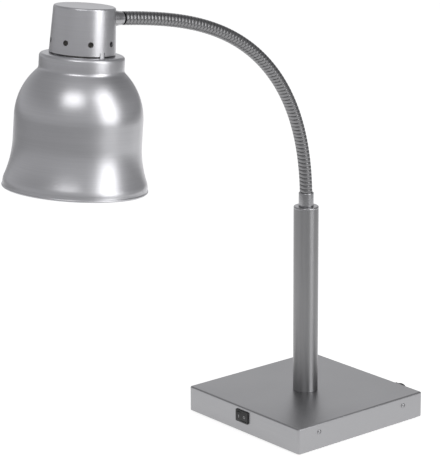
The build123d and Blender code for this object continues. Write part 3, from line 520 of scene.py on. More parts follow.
def new_material(name: str) -> tuple[bpy.types.Material, Nodes, bpy.types.Node]:
    """A new material, its nodes and its shader.

    Args:
        name: The material's name.

    Returns:
        All three.
    """
    material = bpy.data.materials.new(name)
    material.use_nodes = True
    return material, Nodes(material.node_tree), material.node_tree.nodes["Principled BSDF"]


def toned(colour: Triple, factor: float = 1.0) -> tuple[float, float, float, float]:
    """A colour made lighter or darker, as a socket takes it."""
    return (*[min(1.0, channel * factor) for channel in colour], 1.0)


@dataclass(frozen=True)
class Placement:
    """Where a pattern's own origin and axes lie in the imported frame."""

    origin: Triple = (0.0, 0.0, 0.0)
    lean: float = 0.0

    def mapping(self, nodes: Nodes, stretch: Triple = (1.0, 1.0, 1.0)) -> bpy.types.NodeSocket:
        """Object coordinates in the pattern's own axes.

        Args:
            nodes: The material's nodes.
            stretch: How much the pattern is drawn in along each axis.

        Returns:
            The vector socket that textures read.
        """
        own = {"Vector": nodes.add("ShaderNodeTexCoord").outputs["Object"], "Location": self.origin,
               "Rotation": (self.lean, 0.0, 0.0)}
        placed = nodes.add("ShaderNodeMapping", own, vector_type="TEXTURE").outputs["Vector"]
        return nodes.add("ShaderNodeMapping", {"Vector": placed, "Scale": stretch}).outputs["Vector"]


def patches(nodes: Nodes, placement: Placement, **inputs: float) -> bpy.types.NodeSocket:
    """The handling marks, for a material's gloss or tone."""
    given = {"Vector": placement.mapping(nodes), **inputs}
    return nodes.add("ShaderNodeGroup", given, node_tree=smudge_group()).outputs["Patches"]


@dataclass(frozen=True)
class MetalFinish:
    """A metal with its grain, its handling marks and its gloss."""

    name: str
    colour: Triple
    roughness: float
    grain: Grain = Grain.PLAIN
    grain_scale: float = 60.0
    grain_depth: float = 0.15
    tone: float = 0.10
    roughness_spread: float = 0.12
    placement: Placement = Placement()
    uneven: Pair = (0.4, 1.6)
    stretch: float = 0.0

    def material(self) -> bpy.types.Material:
        """Builds the material, with its highlights drawn out upright if it has a stretch.

        Returns:
            The material.
        """
        material, nodes, shader = new_material(self.name)
        given = {"Vector": self.placement.mapping(nodes, self.grain.value), "Scale": self.grain_scale}
        grain = nodes.add("ShaderNodeGroup", given, node_tree=grain_group()).outputs
        both = nodes.combine("ADD", grain["Mask"], patches(nodes, self.placement))
        gloss = ends_of(self.roughness, self.roughness_spread)
        dark, bright = toned(self.colour, 1 - self.tone), toned(self.colour, 1 + self.tone)
        nodes.fill(shader, {
            "Metallic": 1.0,
            "Base Color": nodes.mix(grain["Mask"], dark, bright),
            "Roughness": nodes.fit(both, self.uneven, gloss),
            "Normal": nodes.bump(grain["Height"], self.grain_depth),
        })
        if self.stretch:
            upright = nodes.add("ShaderNodeCombineXYZ", {"Z": 1.0}).outputs["Vector"]
            nodes.fill(shader, {"Tangent": upright, "Anisotropic": self.stretch})
        return material


@dataclass(frozen=True)
class MouldedFinish:
    """A plastic, rubber, ceramic or painted surface with a fine texture."""

    name: str
    colour: Triple
    roughness: float
    texture_scale: float = 900.0
    texture_depth: float = 0.2
    tone: float = 0.15
    coat: float = 0.0
    roughness_spread: float = 0.16

    def material(self) -> bpy.types.Material:
        """Builds the material.

        Returns:
            The material.
        """
        material, nodes, shader = new_material(self.name)
        marks = patches(nodes, Placement())
        texture = nodes.noise(Vector=Placement().mapping(nodes), Scale=self.texture_scale, Detail=3.0)
        gloss = ends_of(self.roughness, self.roughness_spread)
        dark, bright = toned(self.colour, 1 - self.tone), toned(self.colour, 1 + self.tone)
        nodes.fill(shader, {
            "Coat Weight": self.coat,
            "Base Color": nodes.mix(marks, dark, bright),
            "Roughness": nodes.fit(marks, target=gloss),
            "Normal": nodes.bump(texture, self.texture_depth),
        })
        return material


@dataclass(frozen=True)
class RibbedFinish:
    """The neck's metal, with painted shade between its ribs and its own colour on them."""

    name: str
    # The valley colour is painted shade between the ribs; the crest colour is the metal on them.
    valley: Triple
    crest: Triple
    gloss: Pair
    # Rib shares over which the painted valley shade gives way to the crest colour.
    shade_fade: Pair = (0.45, 0.92)
    marks_scale: float = 30.0

    def material(self) -> bpy.types.Material:
        """Builds the material, which paints shade where a point lies low on its rib.

        Returns:
            The material.
        """
        material, nodes, shader = new_material(self.name)
        rib = nodes.add("ShaderNodeAttribute", attribute_type="GEOMETRY", attribute_name="rib").outputs["Fac"]
        marks = patches(nodes, Placement(), Scale=self.marks_scale)
        nodes.fill(shader, {
            "Metallic": 1.0,
            "Base Color": nodes.mix(nodes.fit(rib, self.shade_fade), toned(self.valley), toned(self.crest)),
            "Roughness": nodes.fit(marks, target=self.gloss),
        })
        return material


@dataclass(frozen=True)
class GlassFinish:
    """Glass of the lamp's front or of its silvered back."""

    name: str
    colour: Triple
    metallic: float
    roughness: float
    coat: float
    tone: float = 0.12
    roughness_spread: float = 0.10
    coat_roughness: float = 0.04
    ripple_scale: float = 40.0
    ripple_depth: Pair = (0.25, 0.0004)

    def material(self) -> bpy.types.Material:
        """Builds the material, slightly uneven as blown glass is.

        Returns:
            The material.
        """
        material, nodes, shader = new_material(self.name)
        ripple = nodes.noise(Vector=Placement().mapping(nodes), Scale=self.ripple_scale, Detail=2.0)
        gloss = ends_of(self.roughness, self.roughness_spread)
        nodes.fill(shader, {
            "Metallic": self.metallic,
            "Coat Weight": self.coat,
            "Coat Roughness": self.coat_roughness,
            "Base Color": nodes.mix(ripple, toned(self.colour, 1 - self.tone), toned(self.colour)),
            "Roughness": nodes.fit(ripple, target=gloss),
            "Normal": nodes.bump(ripple, *self.ripple_depth),
        })
        return material


# Places of the neck and the hood


def neck_joints() -> list[Vector]:
    """Centres of the neck's joints, from the pole to the shade.

    Returns:
        The centres, in metres.
    """
    named = {joint["name"]: Vector(joint["pos_m"]) for joint in frame["joints"]
             if joint["name"].startswith("neck")}
    return [named[name] for name in sorted(named, key=lambda name: name[-2:])]


JOINTS = neck_joints()
NECK_BODIES = ["base", *[f"link_{number:02d}" for number in range(1, len(JOINTS))], "hood"]


@dataclass(frozen=True)
class HoodPlace:
    """The hood's own axes: its origin at the middle of the cap's top and +Z up its axis."""

    lean: float = -5.5
    neck_depth: float = 14.4
    ferrule_reach: float = 16.77
    wall_radius: float = 34.0912

    def heading(self) -> Vector:
        """The way that the neck's last stretch points, away from the pole."""
        lean = math.radians(self.lean)
        return Vector((0, -math.cos(lean), -math.sin(lean)))

    def matrix(self) -> Matrix:
        """From the hood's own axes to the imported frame.

        Returns:
            The matrix.
        """
        reach = (self.ferrule_reach + self.wall_radius) * MM
        at = JOINTS[-1] + self.heading() * reach + turn(self.lean, "X") @ Vector((0, 0, self.neck_depth * MM))
        return Matrix.Translation(at) @ turn(self.lean, "X")

    def placement(self) -> Placement:
        """The same for a material's pattern."""
        return Placement(tuple(self.matrix().translation), math.radians(self.lean))


HOOD = HoodPlace()


# Finished pieces


class Finish(Enum):
    """Every finish of the lamp."""

    SHEET = MetalFinish("brushed_sheet", (0.375, 0.375, 0.385), 0.36, Grain.ALONG_X, 60.0, 0.10, 0.07)
    PLATE = MetalFinish("plain_sheet", (0.42, 0.42, 0.43), 0.45, Grain.PLAIN, 60.0, 0.1, 0.08)
    # Same brushed steel as the housing, made darker: the tube's colour carries painted shade.
    TUBE = MetalFinish("brushed_tube", (0.29, 0.29, 0.295), 0.34, Grain.ALONG_Z, 70.0, 0.10, 0.10, 0.08,
                       stretch=0.9)
    TURNED = MetalFinish("turned_cap", (0.42, 0.42, 0.43), 0.30, Grain.TURNED, 70.0, 0.1, 0.08)
    CHROME = MetalFinish("polished_plating", (0.40, 0.40, 0.41), 0.28, Grain.TURNED, 90.0, 0.03, 0.04, 0.06)
    ZINC = MetalFinish("zinc_plating", (0.50, 0.50, 0.50), 0.42, Grain.PLAIN, 90.0, 0.10, 0.12)
    SPUN = MetalFinish("spun_metal", (0.60, 0.60, 0.62), 0.34, Grain.TURNED, 60.0, 0.12, 0.06, 0.10,
                       HOOD.placement())
    # The neck's dark valley colour is painted shade between its ribs.
    NECK = RibbedFinish("ribbed_neck", (0.02, 0.02, 0.022), (0.25, 0.25, 0.255), (0.22, 0.38))
    BALLAST = MouldedFinish("ballast_paint", (0.05, 0.05, 0.055), 0.6, 300.0, 0.3)
    BRASS = MetalFinish("plain_brass", (0.60, 0.42, 0.18), 0.35, Grain.PLAIN, 90.0, 0.08, 0.10)
    SWITCH = MouldedFinish("switch_frame", (0.012, 0.012, 0.013), 0.42, 1400.0, 0.25)
    ROCKER = MouldedFinish("switch_rocker_black", (0.015, 0.015, 0.016), 0.30, 1400.0, 0.15)
    MARK = MouldedFinish("switch_mark", (0.62, 0.62, 0.62), 0.5, 1400.0, 0.05)
    RUBBER = MouldedFinish("mat_rubber", (0.02, 0.02, 0.021), 0.78, 700.0, 0.5)
    NYLON = MouldedFinish("gland_nylon", (0.018, 0.018, 0.019), 0.45)
    BLOCK = MouldedFinish("block_white", (0.75, 0.74, 0.70), 0.5)
    SHEATH = MouldedFinish("lead_white", (0.70, 0.69, 0.66), 0.55, texture_depth=0.15)
    CORE_BROWN = MouldedFinish("core_brown_insulation", (0.13, 0.05, 0.02), 0.45, texture_depth=0.15)
    CORE_GREEN = MouldedFinish("core_green_insulation", (0.06, 0.28, 0.04), 0.45, texture_depth=0.15)
    CERAMIC = MouldedFinish("glazed_ceramic", (0.80, 0.78, 0.72), 0.25, 250.0, 0.1, 0.05, 0.4)
    LAMP_SILVER = GlassFinish("silvered_glass", (0.78, 0.78, 0.80), 1.0, 0.16, 0.5)
    LAMP_FRONT = GlassFinish("red_glass", (0.50, 0.012, 0.010), 0.0, 0.20, 1.0)


@cache
def material_of(finish: Finish) -> bpy.types.Material:
    """A finish's material, built the first time it is asked for."""
    return finish.value.material()


def make_piece(name: str, bm: Mesh, slot: Slot, finish: Finish, *nodes: str) -> bpy.types.Object:
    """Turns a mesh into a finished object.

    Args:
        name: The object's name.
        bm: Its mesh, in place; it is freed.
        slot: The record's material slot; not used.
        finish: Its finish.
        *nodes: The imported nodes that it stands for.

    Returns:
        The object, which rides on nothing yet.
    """
    mesh = stored(name, bm)
    mesh.polygons.foreach_set("use_smooth", [True] * len(mesh.polygons))
    mesh.set_sharp_from_angle(angle=SHARP_ANGLE)
    mesh.materials.append(material_of(finish))
    piece = add_object(name, mesh)
    if nodes:
        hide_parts(*nodes)
    return piece


def ride(body: Body, *pieces: bpy.types.Object) -> None:
    """Puts pieces on a body and reports them.

    Args:
        body: The body.
        *pieces: The pieces.
    """
    for piece in pieces:
        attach(piece, body.value)
        LOG.info("%s rides on %s", piece.name, body.value)


def dress(finish: Finish, *names: str) -> None:
    """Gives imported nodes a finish.

    Args:
        finish: The finish.
        *names: The nodes' names.
    """
    for name in names:
        data = frame["nodes"][name].data
        data.materials.clear()
        data.materials.append(material_of(finish))


# Sub-assemblies


@dataclass
class Base:
    """Square sheet housing on its plate and mat, with its screws and ballast."""

    side: float = 200.0
    low: float = 2.0
    top: float = 32.5
    sheet: float = 1.5
    corner: float = 3.0
    edge: float = 2.0
    window: Pair = (19.4, 13.2)
    window_z: float = 21.05
    screw_y: float = 68.0
    screw_z: float = 22.1
    head_radius: float = 2.9
    head_height: float = 1.9
    head_rim: float = 0.5
    head_sink: float = 1.0
    slot_width: float = 0.66
    slot_length: float = 3.596
    slot_depth: float = 1.0
    slot_angles: Pair = (35.0, 125.0)

    def cover(self) -> bpy.types.Object:
        """Folded cover with rounded folds, open underneath, and the switch's cut-out.

        Returns:
            The piece.
        """
        front = -self.side / 2
        width, height = self.window
        window = block((-width / 2, front - REACH, self.window_z - height / 2),
                       (width / 2, front + self.sheet + REACH, self.window_z + height / 2))
        cover = carve(self.shell(0.0, self.low), self.shell(self.sheet, self.low - REACH), window)
        return make_piece("housing_cover", cover, Slot.HOUSING, Finish.SHEET, "base_cover")

    def shell(self, inset: float, low: float) -> Mesh:
        """The housing's rounded block, drawn in by a wall.

        Args:
            inset: How far it is drawn in.
            low: How high its underside lies.

        Returns:
            The block.
        """
        half = self.side / 2 - inset
        top = self.top - inset
        bm = block((-half, -half, low), (half, half, top))
        round_edges(bm, self.corner - inset / 2, 6, runs_along(2))
        round_edges(bm, self.edge - inset / 2, 5, at_level(2, top))
        return bm

    def screw_heads(self) -> bpy.types.Object:
        """Domed heads with crossed slots, in the two side walls.

        Returns:
            The piece.
        """
        heads = []
        for side in (-1, 1):
            for y in (-self.screw_y, self.screw_y):
                place = shift(side * self.side / 2, y, self.screw_z) @ turn(side * 90, "Y")
                heads.append(move(self.screw_head(), place))
        return make_piece("cover_screw_heads", join(*heads), Slot.CHROME, Finish.CHROME, "cover_screws")

    def screw_head(self) -> Mesh:
        """One domed head standing on the XY plane.

        Returns:
            The head, with its slots.
        """
        radius, height = self.head_radius, self.head_height
        arch = height - self.head_rim
        dome = (radius**2 + arch**2) / (2 * arch)
        rise = math.degrees(math.asin(radius / dome))
        sink = -self.head_sink
        outline = Outline([(0, sink), (radius / 2, sink), (radius / 2, 0), (radius, 0)])
        head = lathe(outline.arc((0, height - dome), dome, 90 - rise, rise, 6), segments=32)
        length, width = self.slot_length / 2, self.slot_width / 2
        for angle in self.slot_angles:
            slot = block((-length, -width, height - self.slot_depth), (length, width, height + REACH))
            head = carve(head, move(slot, turn(angle, "Z")))
        return head

    def build(self) -> None:
        """Builds the housing and dresses what it holds."""
        ride(Body.BASE, self.cover(), self.screw_heads())
        dress(Finish.PLATE, "bottom_plate")
        dress(Finish.RUBBER, "rubber_mat")
        dress(Finish.BALLAST, "ballast_weight")
        dress(Finish.ZINC, "ballast_screws", "earth_stud", "earth_nut", "terminal_screws", "pole_foot_plug",
              "pole_washer", "pole_nut")
        dress(Finish.BRASS, "earth_ring", "switch_terminals")
        dress(Finish.BLOCK, "terminal_block")


@dataclass
class Switch:
    """Rocker switch in the front wall, with its two marks."""

    face_y: float = -100.0
    z: float = 21.05
    frame: Pair = (22.0, 15.0)
    frame_depth: float = 2.0
    frame_corner: float = 1.2
    frame_edge: float = 0.6
    body: Pair = (19.2, 13.0)
    body_depth: float = 14.0
    well: Pair = (17.4, 11.0)
    well_depth: float = 7.0
    rocker_height: float = 10.6
    rocker_end: float = 8.3
    rocker_valley: float = 1.0
    rocker_back: float = 3.5
    rocker_side: float = 0.4
    rocker_edge: float = 0.35
    rocker_tilt: float = 10.0
    tip_clearance: float = 0.995
    pivot_depth: float = 1.5
    mark_height: float = 3.4
    mark_width: float = 0.6
    mark_relief: Pair = (-0.04, 0.12)

    def slab(self, size: Pair, front: float, back: float) -> Mesh:
        """A block centred on the switch, between two places along Y."""
        width, height = size
        return block((-width / 2, front, self.z - height / 2), (width / 2, back, self.z + height / 2))

    def housing(self) -> bpy.types.Object:
        """Frame with rounded corners, its body behind the sheet, and the rocker's well.

        Returns:
            The piece.
        """
        front = self.face_y - self.frame_depth
        bezel = self.slab(self.frame, front, self.face_y)
        round_edges(bezel, self.frame_corner, 4, runs_along(1))
        round_edges(bezel, self.frame_edge, 3, at_level(1, front))
        body = self.slab(self.body, self.face_y, self.face_y + self.body_depth)
        parts = [carve(part, self.slab(self.well, front - REACH, self.face_y + self.well_depth))
                 for part in (bezel, body)]
        return make_piece("switch_frame", join(*parts), Slot.SWITCH, Finish.SWITCH, "switch_housing")

    def pivot(self) -> Matrix:
        """The rocker's own place, tipped to its OFF side."""
        depth = self.face_y - self.frame_depth + self.pivot_depth
        return shift(0, depth, self.z) @ turn(self.rocker_tilt, "Z")

    def rocker(self) -> bpy.types.Object:
        """Rocker with two flat halves, rounded at its ends.

        Returns:
            The piece.
        """
        slope = math.tan(math.radians(self.rocker_tilt))
        end, back, valley = self.rocker_end, self.rocker_back, self.rocker_valley
        tip = math.sqrt(end**2 - (valley + end * slope) ** 2) * self.tip_clearance
        heel = math.sqrt(end**2 - back**2)
        outline = [(-heel, back), (heel, back), (end, self.rocker_side), (tip, -valley - tip * slope),
                   (0, -valley), (-tip, -valley - tip * slope), (-end, self.rocker_side)]
        bm = bmesh.new()
        face = bm.faces.new([add_point(bm, x, y, -self.rocker_height / 2) for x, y in outline])
        raised = bmesh.ops.extrude_face_region(bm, geom=[face])
        bmesh.ops.translate(bm, vec=(0, 0, self.rocker_height * MM),
                            verts=picked(raised["geom"], bmesh.types.BMVert))
        bmesh.ops.recalc_face_normals(bm, faces=bm.faces)
        round_edges(bm, self.rocker_edge, 3, is_sharp)
        return make_piece("rocker", move(bm, self.pivot()), Slot.SWITCH, Finish.ROCKER, "switch_rocker")

    def marks(self) -> bpy.types.Object:
        """Raised line and ring, for on and off, on the rocker's two halves.

        Returns:
            The piece.
        """
        tall, wide = self.mark_height / 2, self.mark_width / 2
        low, high = self.mark_relief
        line = block((-wide, low, -tall), (wide, high, tall))
        inner = tall - self.mark_width
        ring = move(lathe(Outline([(tall, low), (tall, high), (inner, high), (inner, low)]), segments=32),
                    turn(90, "X"))
        middle = self.rocker_end / 2
        drop = self.rocker_valley + middle * math.tan(math.radians(self.rocker_tilt))
        parts = []
        for side, mark in ((-1, line), (1, ring)):
            place = self.pivot() @ shift(side * middle, -drop, 0) @ turn(-side * self.rocker_tilt, "Z")
            parts.append(move(mark, place))
        return make_piece("rocker_marks", join(*parts), Slot.SWITCH, Finish.MARK)

    def build(self) -> None:
        """Builds the switch."""
        ride(Body.BASE, self.housing())
        ride(Body.ROCKER, self.rocker(), self.marks())


@dataclass
class Gland:
    """Cord gland in the rear wall, with its dome nut and seal."""

    place: Triple = (50.0, 100.0, 17.25)
    flats: float = 20.0
    hexagon: Pair = (5.05, 11.05)
    hexagon_edge: float = 0.5
    dome_inset: float = 0.2
    dome_low: float = 7.05
    dome_steps: int = 8
    end: float = 17.0
    end_radius: float = 7.0
    bore: float = 5.0
    flutes: int = 12
    flute_radius: float = 0.35
    flute_step: float = 0.6
    flute_out: float = 0.05

    def hexagon_form(self) -> Mesh:
        """The six-sided part of the nut, with softened corners.

        Returns:
            The form, upright on the gland's own axis.
        """
        low, high = self.hexagon
        radius = self.flats / 2 / math.cos(math.radians(30)) * MM
        bm = bmesh.new()
        bmesh.ops.create_cone(bm, cap_ends=True, segments=6, radius1=radius, radius2=radius,
                              depth=(high - low) * MM)
        move(bm, shift(0, 0, (low + high) / 2) @ turn(30, "Z"))
        round_edges(bm, self.hexagon_edge, 3, is_sharp)
        return bm

    def nut(self) -> bpy.types.Object:
        """Dome nut with grip flutes round its dome.

        Returns:
            The piece.
        """
        start, widest = self.hexagon[1], self.flats / 2 - self.dome_inset
        dome = Outline([(self.bore, self.dome_low), (widest, self.dome_low), (widest, start)])
        for step in range(1, self.dome_steps + 1):
            angle = math.radians(90 * step / self.dome_steps)
            dome.through((self.end_radius + (widest - self.end_radius) * math.cos(angle),
                          start + (self.end - start) * math.sin(angle)))
        turned = lathe(dome.through((self.bore, self.end)), segments=72)
        low, high = start + self.flute_step, self.end + REACH
        for flute in range(self.flutes):
            place = turn(360 / self.flutes * flute, "Z") @ shift(widest + self.flute_out, 0, 0)
            turned = carve(turned, move(rod(self.flute_radius, low, high, 12), place))
        whole = move(join(self.hexagon_form(), turned), shift(*self.place) @ turn(-90, "X"))
        return make_piece("gland_nut", whole, Slot.GLAND, Finish.NYLON, "gland_dome_nut")

    def build(self) -> None:
        """Builds the nut and dresses the rest of the gland."""
        ride(Body.BASE, self.nut())
        dress(Finish.NYLON, "gland_body", "gland_locknut")
        dress(Finish.RUBBER, "gland_seal")


@dataclass
class Pole:
    """Upright tube with its cap and the ferrule that holds the neck."""

    radius: float = 15.0
    wall: float = 1.5
    foot: float = 32.5
    foot_edge: float = 0.25
    joint_edge: float = 0.15
    cap_low: float = 259.5
    cap_play: float = 0.1
    top: float = 262.5
    chamfer: float = 1.5
    spigot: float = 10.0
    ferrule_radius: float = 9.0
    ferrule_top: float = 279.5
    ferrule_edge: float = 0.3
    socket_radius: float = 5.6
    socket_depth: float = 3.4
    socket_cone: float = 0.7
    thread_radius: float = 5.0
    bore: float = 3.3

    def tube(self) -> bpy.types.Object:
        """The tube, with a softened foot.

        Returns:
            The piece.
        """
        radius, low, high = self.radius, self.foot, self.cap_low
        outline = Outline([(radius - self.wall, low), (radius - self.foot_edge, low),
                           (radius, low + self.foot_edge), (radius, high - self.joint_edge),
                           (radius - self.joint_edge, high), (radius - self.wall, high)])
        return make_piece("pole", lathe(outline, segments=128), Slot.POLE, Finish.TUBE, "pole_tube")

    def cap(self) -> bpy.types.Object:
        """Turned cap with a bevelled edge, over the tube's end.

        Returns:
            The piece.
        """
        radius, low, chamfer = self.radius, self.cap_low, self.chamfer
        plug = radius - self.wall - self.cap_play
        outline = Outline([(self.thread_radius, low - self.spigot), (plug, low - self.spigot), (plug, low),
                           (radius - self.joint_edge, low), (radius, low + self.joint_edge),
                           (radius, self.top - chamfer)])
        outline.arc((radius - chamfer, self.top - chamfer), chamfer, 0, 90, 5)
        outline.through((self.thread_radius, self.top))
        return make_piece("pole_end_cap", lathe(outline, segments=128), Slot.POLE, Finish.TURNED, "pole_cap")

    def ferrule(self) -> bpy.types.Object:
        """Bright ferrule between the cap and the neck.

        Returns:
            The piece.
        """
        radius, top, chamfer = self.ferrule_radius, self.ferrule_top, self.chamfer
        low = self.top - self.spigot
        floor = top - self.socket_depth
        outline = Outline([(self.bore, low), (self.thread_radius, low), (self.thread_radius, self.top),
                           (radius - self.ferrule_edge, self.top), (radius, self.top + self.ferrule_edge),
                           (radius, top - chamfer)])
        outline.arc((radius - chamfer, top - chamfer), chamfer, 0, 90, 5)
        outline.through((self.socket_radius, top), (self.socket_radius, floor),
                        (self.bore, floor - self.socket_cone))
        return make_piece("neck_lower_ferrule", lathe(outline), Slot.CHROME, Finish.CHROME, "lower_ferrule")

    def build(self) -> None:
        """Builds the pole."""
        ride(Body.BASE, self.tube(), self.cap(), self.ferrule())


@dataclass
class Neck:
    """Ribbed flexible neck, wound from one strip, in a stretch for each joint."""

    pitch: float = 4.7712
    turns: int = 6
    crest: float = 7.6
    root: float = 6.55
    around: int = 32
    across: int = 8
    crown: float = 0.3
    first_gap: float = 0.77
    first_radius: float = 5.4
    first_depth: float = 4.0
    last_gap: float = 0.5
    last_radius: float = 5.3
    lead_radius: float = 2.3
    lead_steps: int = 8
    lead_gap: Pair = (0.409, 0.430)
    from_hood: tuple[int, ...] = (2,)

    def curve(self, number: int) -> tuple[Vector, Vector, Vector]:
        """Control points of a stretch's curve, which turns at its joint.

        Args:
            number: The stretch's joint.

        Returns:
            The middle of the link before, the joint, and the middle of the link after.
        """
        joint = JOINTS[number]
        half = (JOINTS[1] - JOINTS[0]).length / 2
        before, after = joint - Vector((0, 0, half)), joint + HOOD.heading() * half
        if number > 0:
            before = (JOINTS[number - 1] + joint) / 2
        if number < len(JOINTS) - 1:
            after = (joint + JOINTS[number + 1]) / 2
        return before, joint, after

    def length(self) -> float:
        """A stretch's length in metres."""
        return self.turns * self.pitch * MM

    def strip(self) -> Mesh:
        """A straight stretch, upwards from the XY plane, that notes how far each point stands out.

        Returns:
            The stretch, with that as a share of a rib's height at each point.
        """
        profile = []
        for step in range(self.across + 1):
            angle = math.pi * step / self.across
            radius = self.root + (self.crest - self.root) * math.sin(angle) ** self.crown
            profile.append((0, radius, self.pitch * (1 - math.cos(angle)) / 2))
        bm = wind(profile, self.pitch, self.turns, self.around)
        rib = bm.verts.layers.float.new("rib")
        for vert in bm.verts:
            vert[rib] = (vert.co.xy.length / MM - self.root) / (self.crest - self.root)
        return bm

    def bend(self, bm: Mesh, number: int) -> None:
        """Lays a straight stretch along its curve.

        Args:
            bm: The mesh, upwards from the XY plane.
            number: The stretch's joint.
        """
        before, joint, after = self.curve(number)
        across = Vector((1, 0, 0))
        for vert in bm.verts:
            share = vert.co.z / self.length()
            low, high = before.lerp(joint, share), joint.lerp(after, share)
            side = across.cross((high - low).normalized())
            vert.co = low.lerp(high, share) + across * vert.co.x + side * vert.co.y
        bmesh.ops.recalc_face_normals(bm, faces=bm.faces)

    def tuck(self, bm: Mesh) -> None:
        """Draws the start of the first stretch in where it goes into its ferrule.

        Args:
            bm: The straight stretch.
        """
        joint = self.length() / 2
        for vert in bm.verts:
            if vert.co.z < joint - self.first_gap * MM:
                draw_in(vert, self.first_radius)
        gone = [vert for vert in bm.verts if vert.co.z < joint - self.first_depth * MM]
        bmesh.ops.delete(bm, geom=gone, context="VERTS")

    def trim(self, bm: Mesh) -> None:
        """Cuts the last stretch off square, short of its joint, and turns its rim inwards.

        Args:
            bm: The straight stretch.
        """
        edge = self.length() / 2 - self.last_gap * MM
        cut = bmesh.ops.bisect_plane(bm, geom=bm.verts[:] + bm.edges[:] + bm.faces[:], dist=SAME_POINT / 10,
                                     plane_co=(0, 0, edge), plane_no=(0, 0, 1), clear_outer=True)
        grown = bmesh.ops.extrude_edge_only(bm, edges=picked(cut["geom_cut"], bmesh.types.BMEdge))
        rib = bm.verts.layers.float["rib"]
        for vert in picked(grown["geom"], bmesh.types.BMVert):
            draw_in(vert, self.last_radius)
            # The turned-in rim counts as lowest on its rib and takes the painted valley shade.
            vert[rib] = 0.0

    def hose(self, number: int) -> bpy.types.Object:
        """The ribbed skin round one joint.

        Args:
            number: The joint.

        Returns:
            The piece.
        """
        bm = self.strip()
        if number == 0:
            self.tuck(bm)
        if number == len(JOINTS) - 1:
            self.trim(bm)
        self.bend(bm, number)
        nodes = (f"neck_link_{number:02d}",) if number else ()
        return make_piece(f"neck_hose_{number + 1:02d}", bm, Slot.NECK, Finish.NECK, *nodes)

    def lead(self, number: int, low: float = 0.0, high: float = 1.0, label: int = 0) -> bpy.types.Object:
        """The lead inside one joint's stretch.

        Args:
            number: The stretch's joint.
            low: Where it starts, as a share of the stretch.
            high: Where it ends.
            label: The number in its name, if it isn't the stretch's own.

        Returns:
            The piece.
        """
        bm = bmesh.new()
        bmesh.ops.create_circle(bm, cap_ends=False, segments=16, radius=self.lead_radius * MM,
                                matrix=Matrix.Translation((0, 0, low * self.length())))
        ring = bm.edges[:]
        for _ in range(self.lead_steps):
            grown = bmesh.ops.extrude_edge_only(bm, edges=ring)["geom"]
            ring = picked(grown, bmesh.types.BMEdge)
            bmesh.ops.translate(bm, vec=(0, 0, (high - low) * self.length() / self.lead_steps),
                                verts=picked(grown, bmesh.types.BMVert))
        self.bend(bm, number)
        nodes = ("lamp_lead",) if number == 1 else ()
        name = f"lamp_lead_{label or number + 1:02d}"
        return make_piece(name, bm, Slot.SHEATH, Finish.SHEATH, *nodes)

    def build(self) -> None:
        """Builds each stretch and bends it between the bodies on its two sides.

        The last one rides its link as far as the joint. Blended across that joint, or across the third
        from the pole's side, it comes out torn where every joint is at its upper limit, because of how
        the turn between the two bodies rounds.
        """
        last = len(JOINTS) - 1
        for number in range(last):
            before, _, after = self.curve(number)
            body_a, body_b = NECK_BODIES[number], NECK_BODIES[number + 1]
            if number in self.from_hood:
                before, after, body_a, body_b = after, before, body_b, body_a
            for piece in (self.hose(number), self.lead(number)):
                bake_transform(piece, body_a, body_b, before, after)
                LOG.info("%s bends between %s and %s", piece.name, body_a, body_b)
        end, start = self.lead_gap
        for piece in (self.hose(last), self.lead(last, high=end)):
            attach(piece, NECK_BODIES[last])
            LOG.info("%s rides on %s", piece.name, NECK_BODIES[last])
        ride(Body.HOOD, self.lead(last, low=start, label=last + 2))


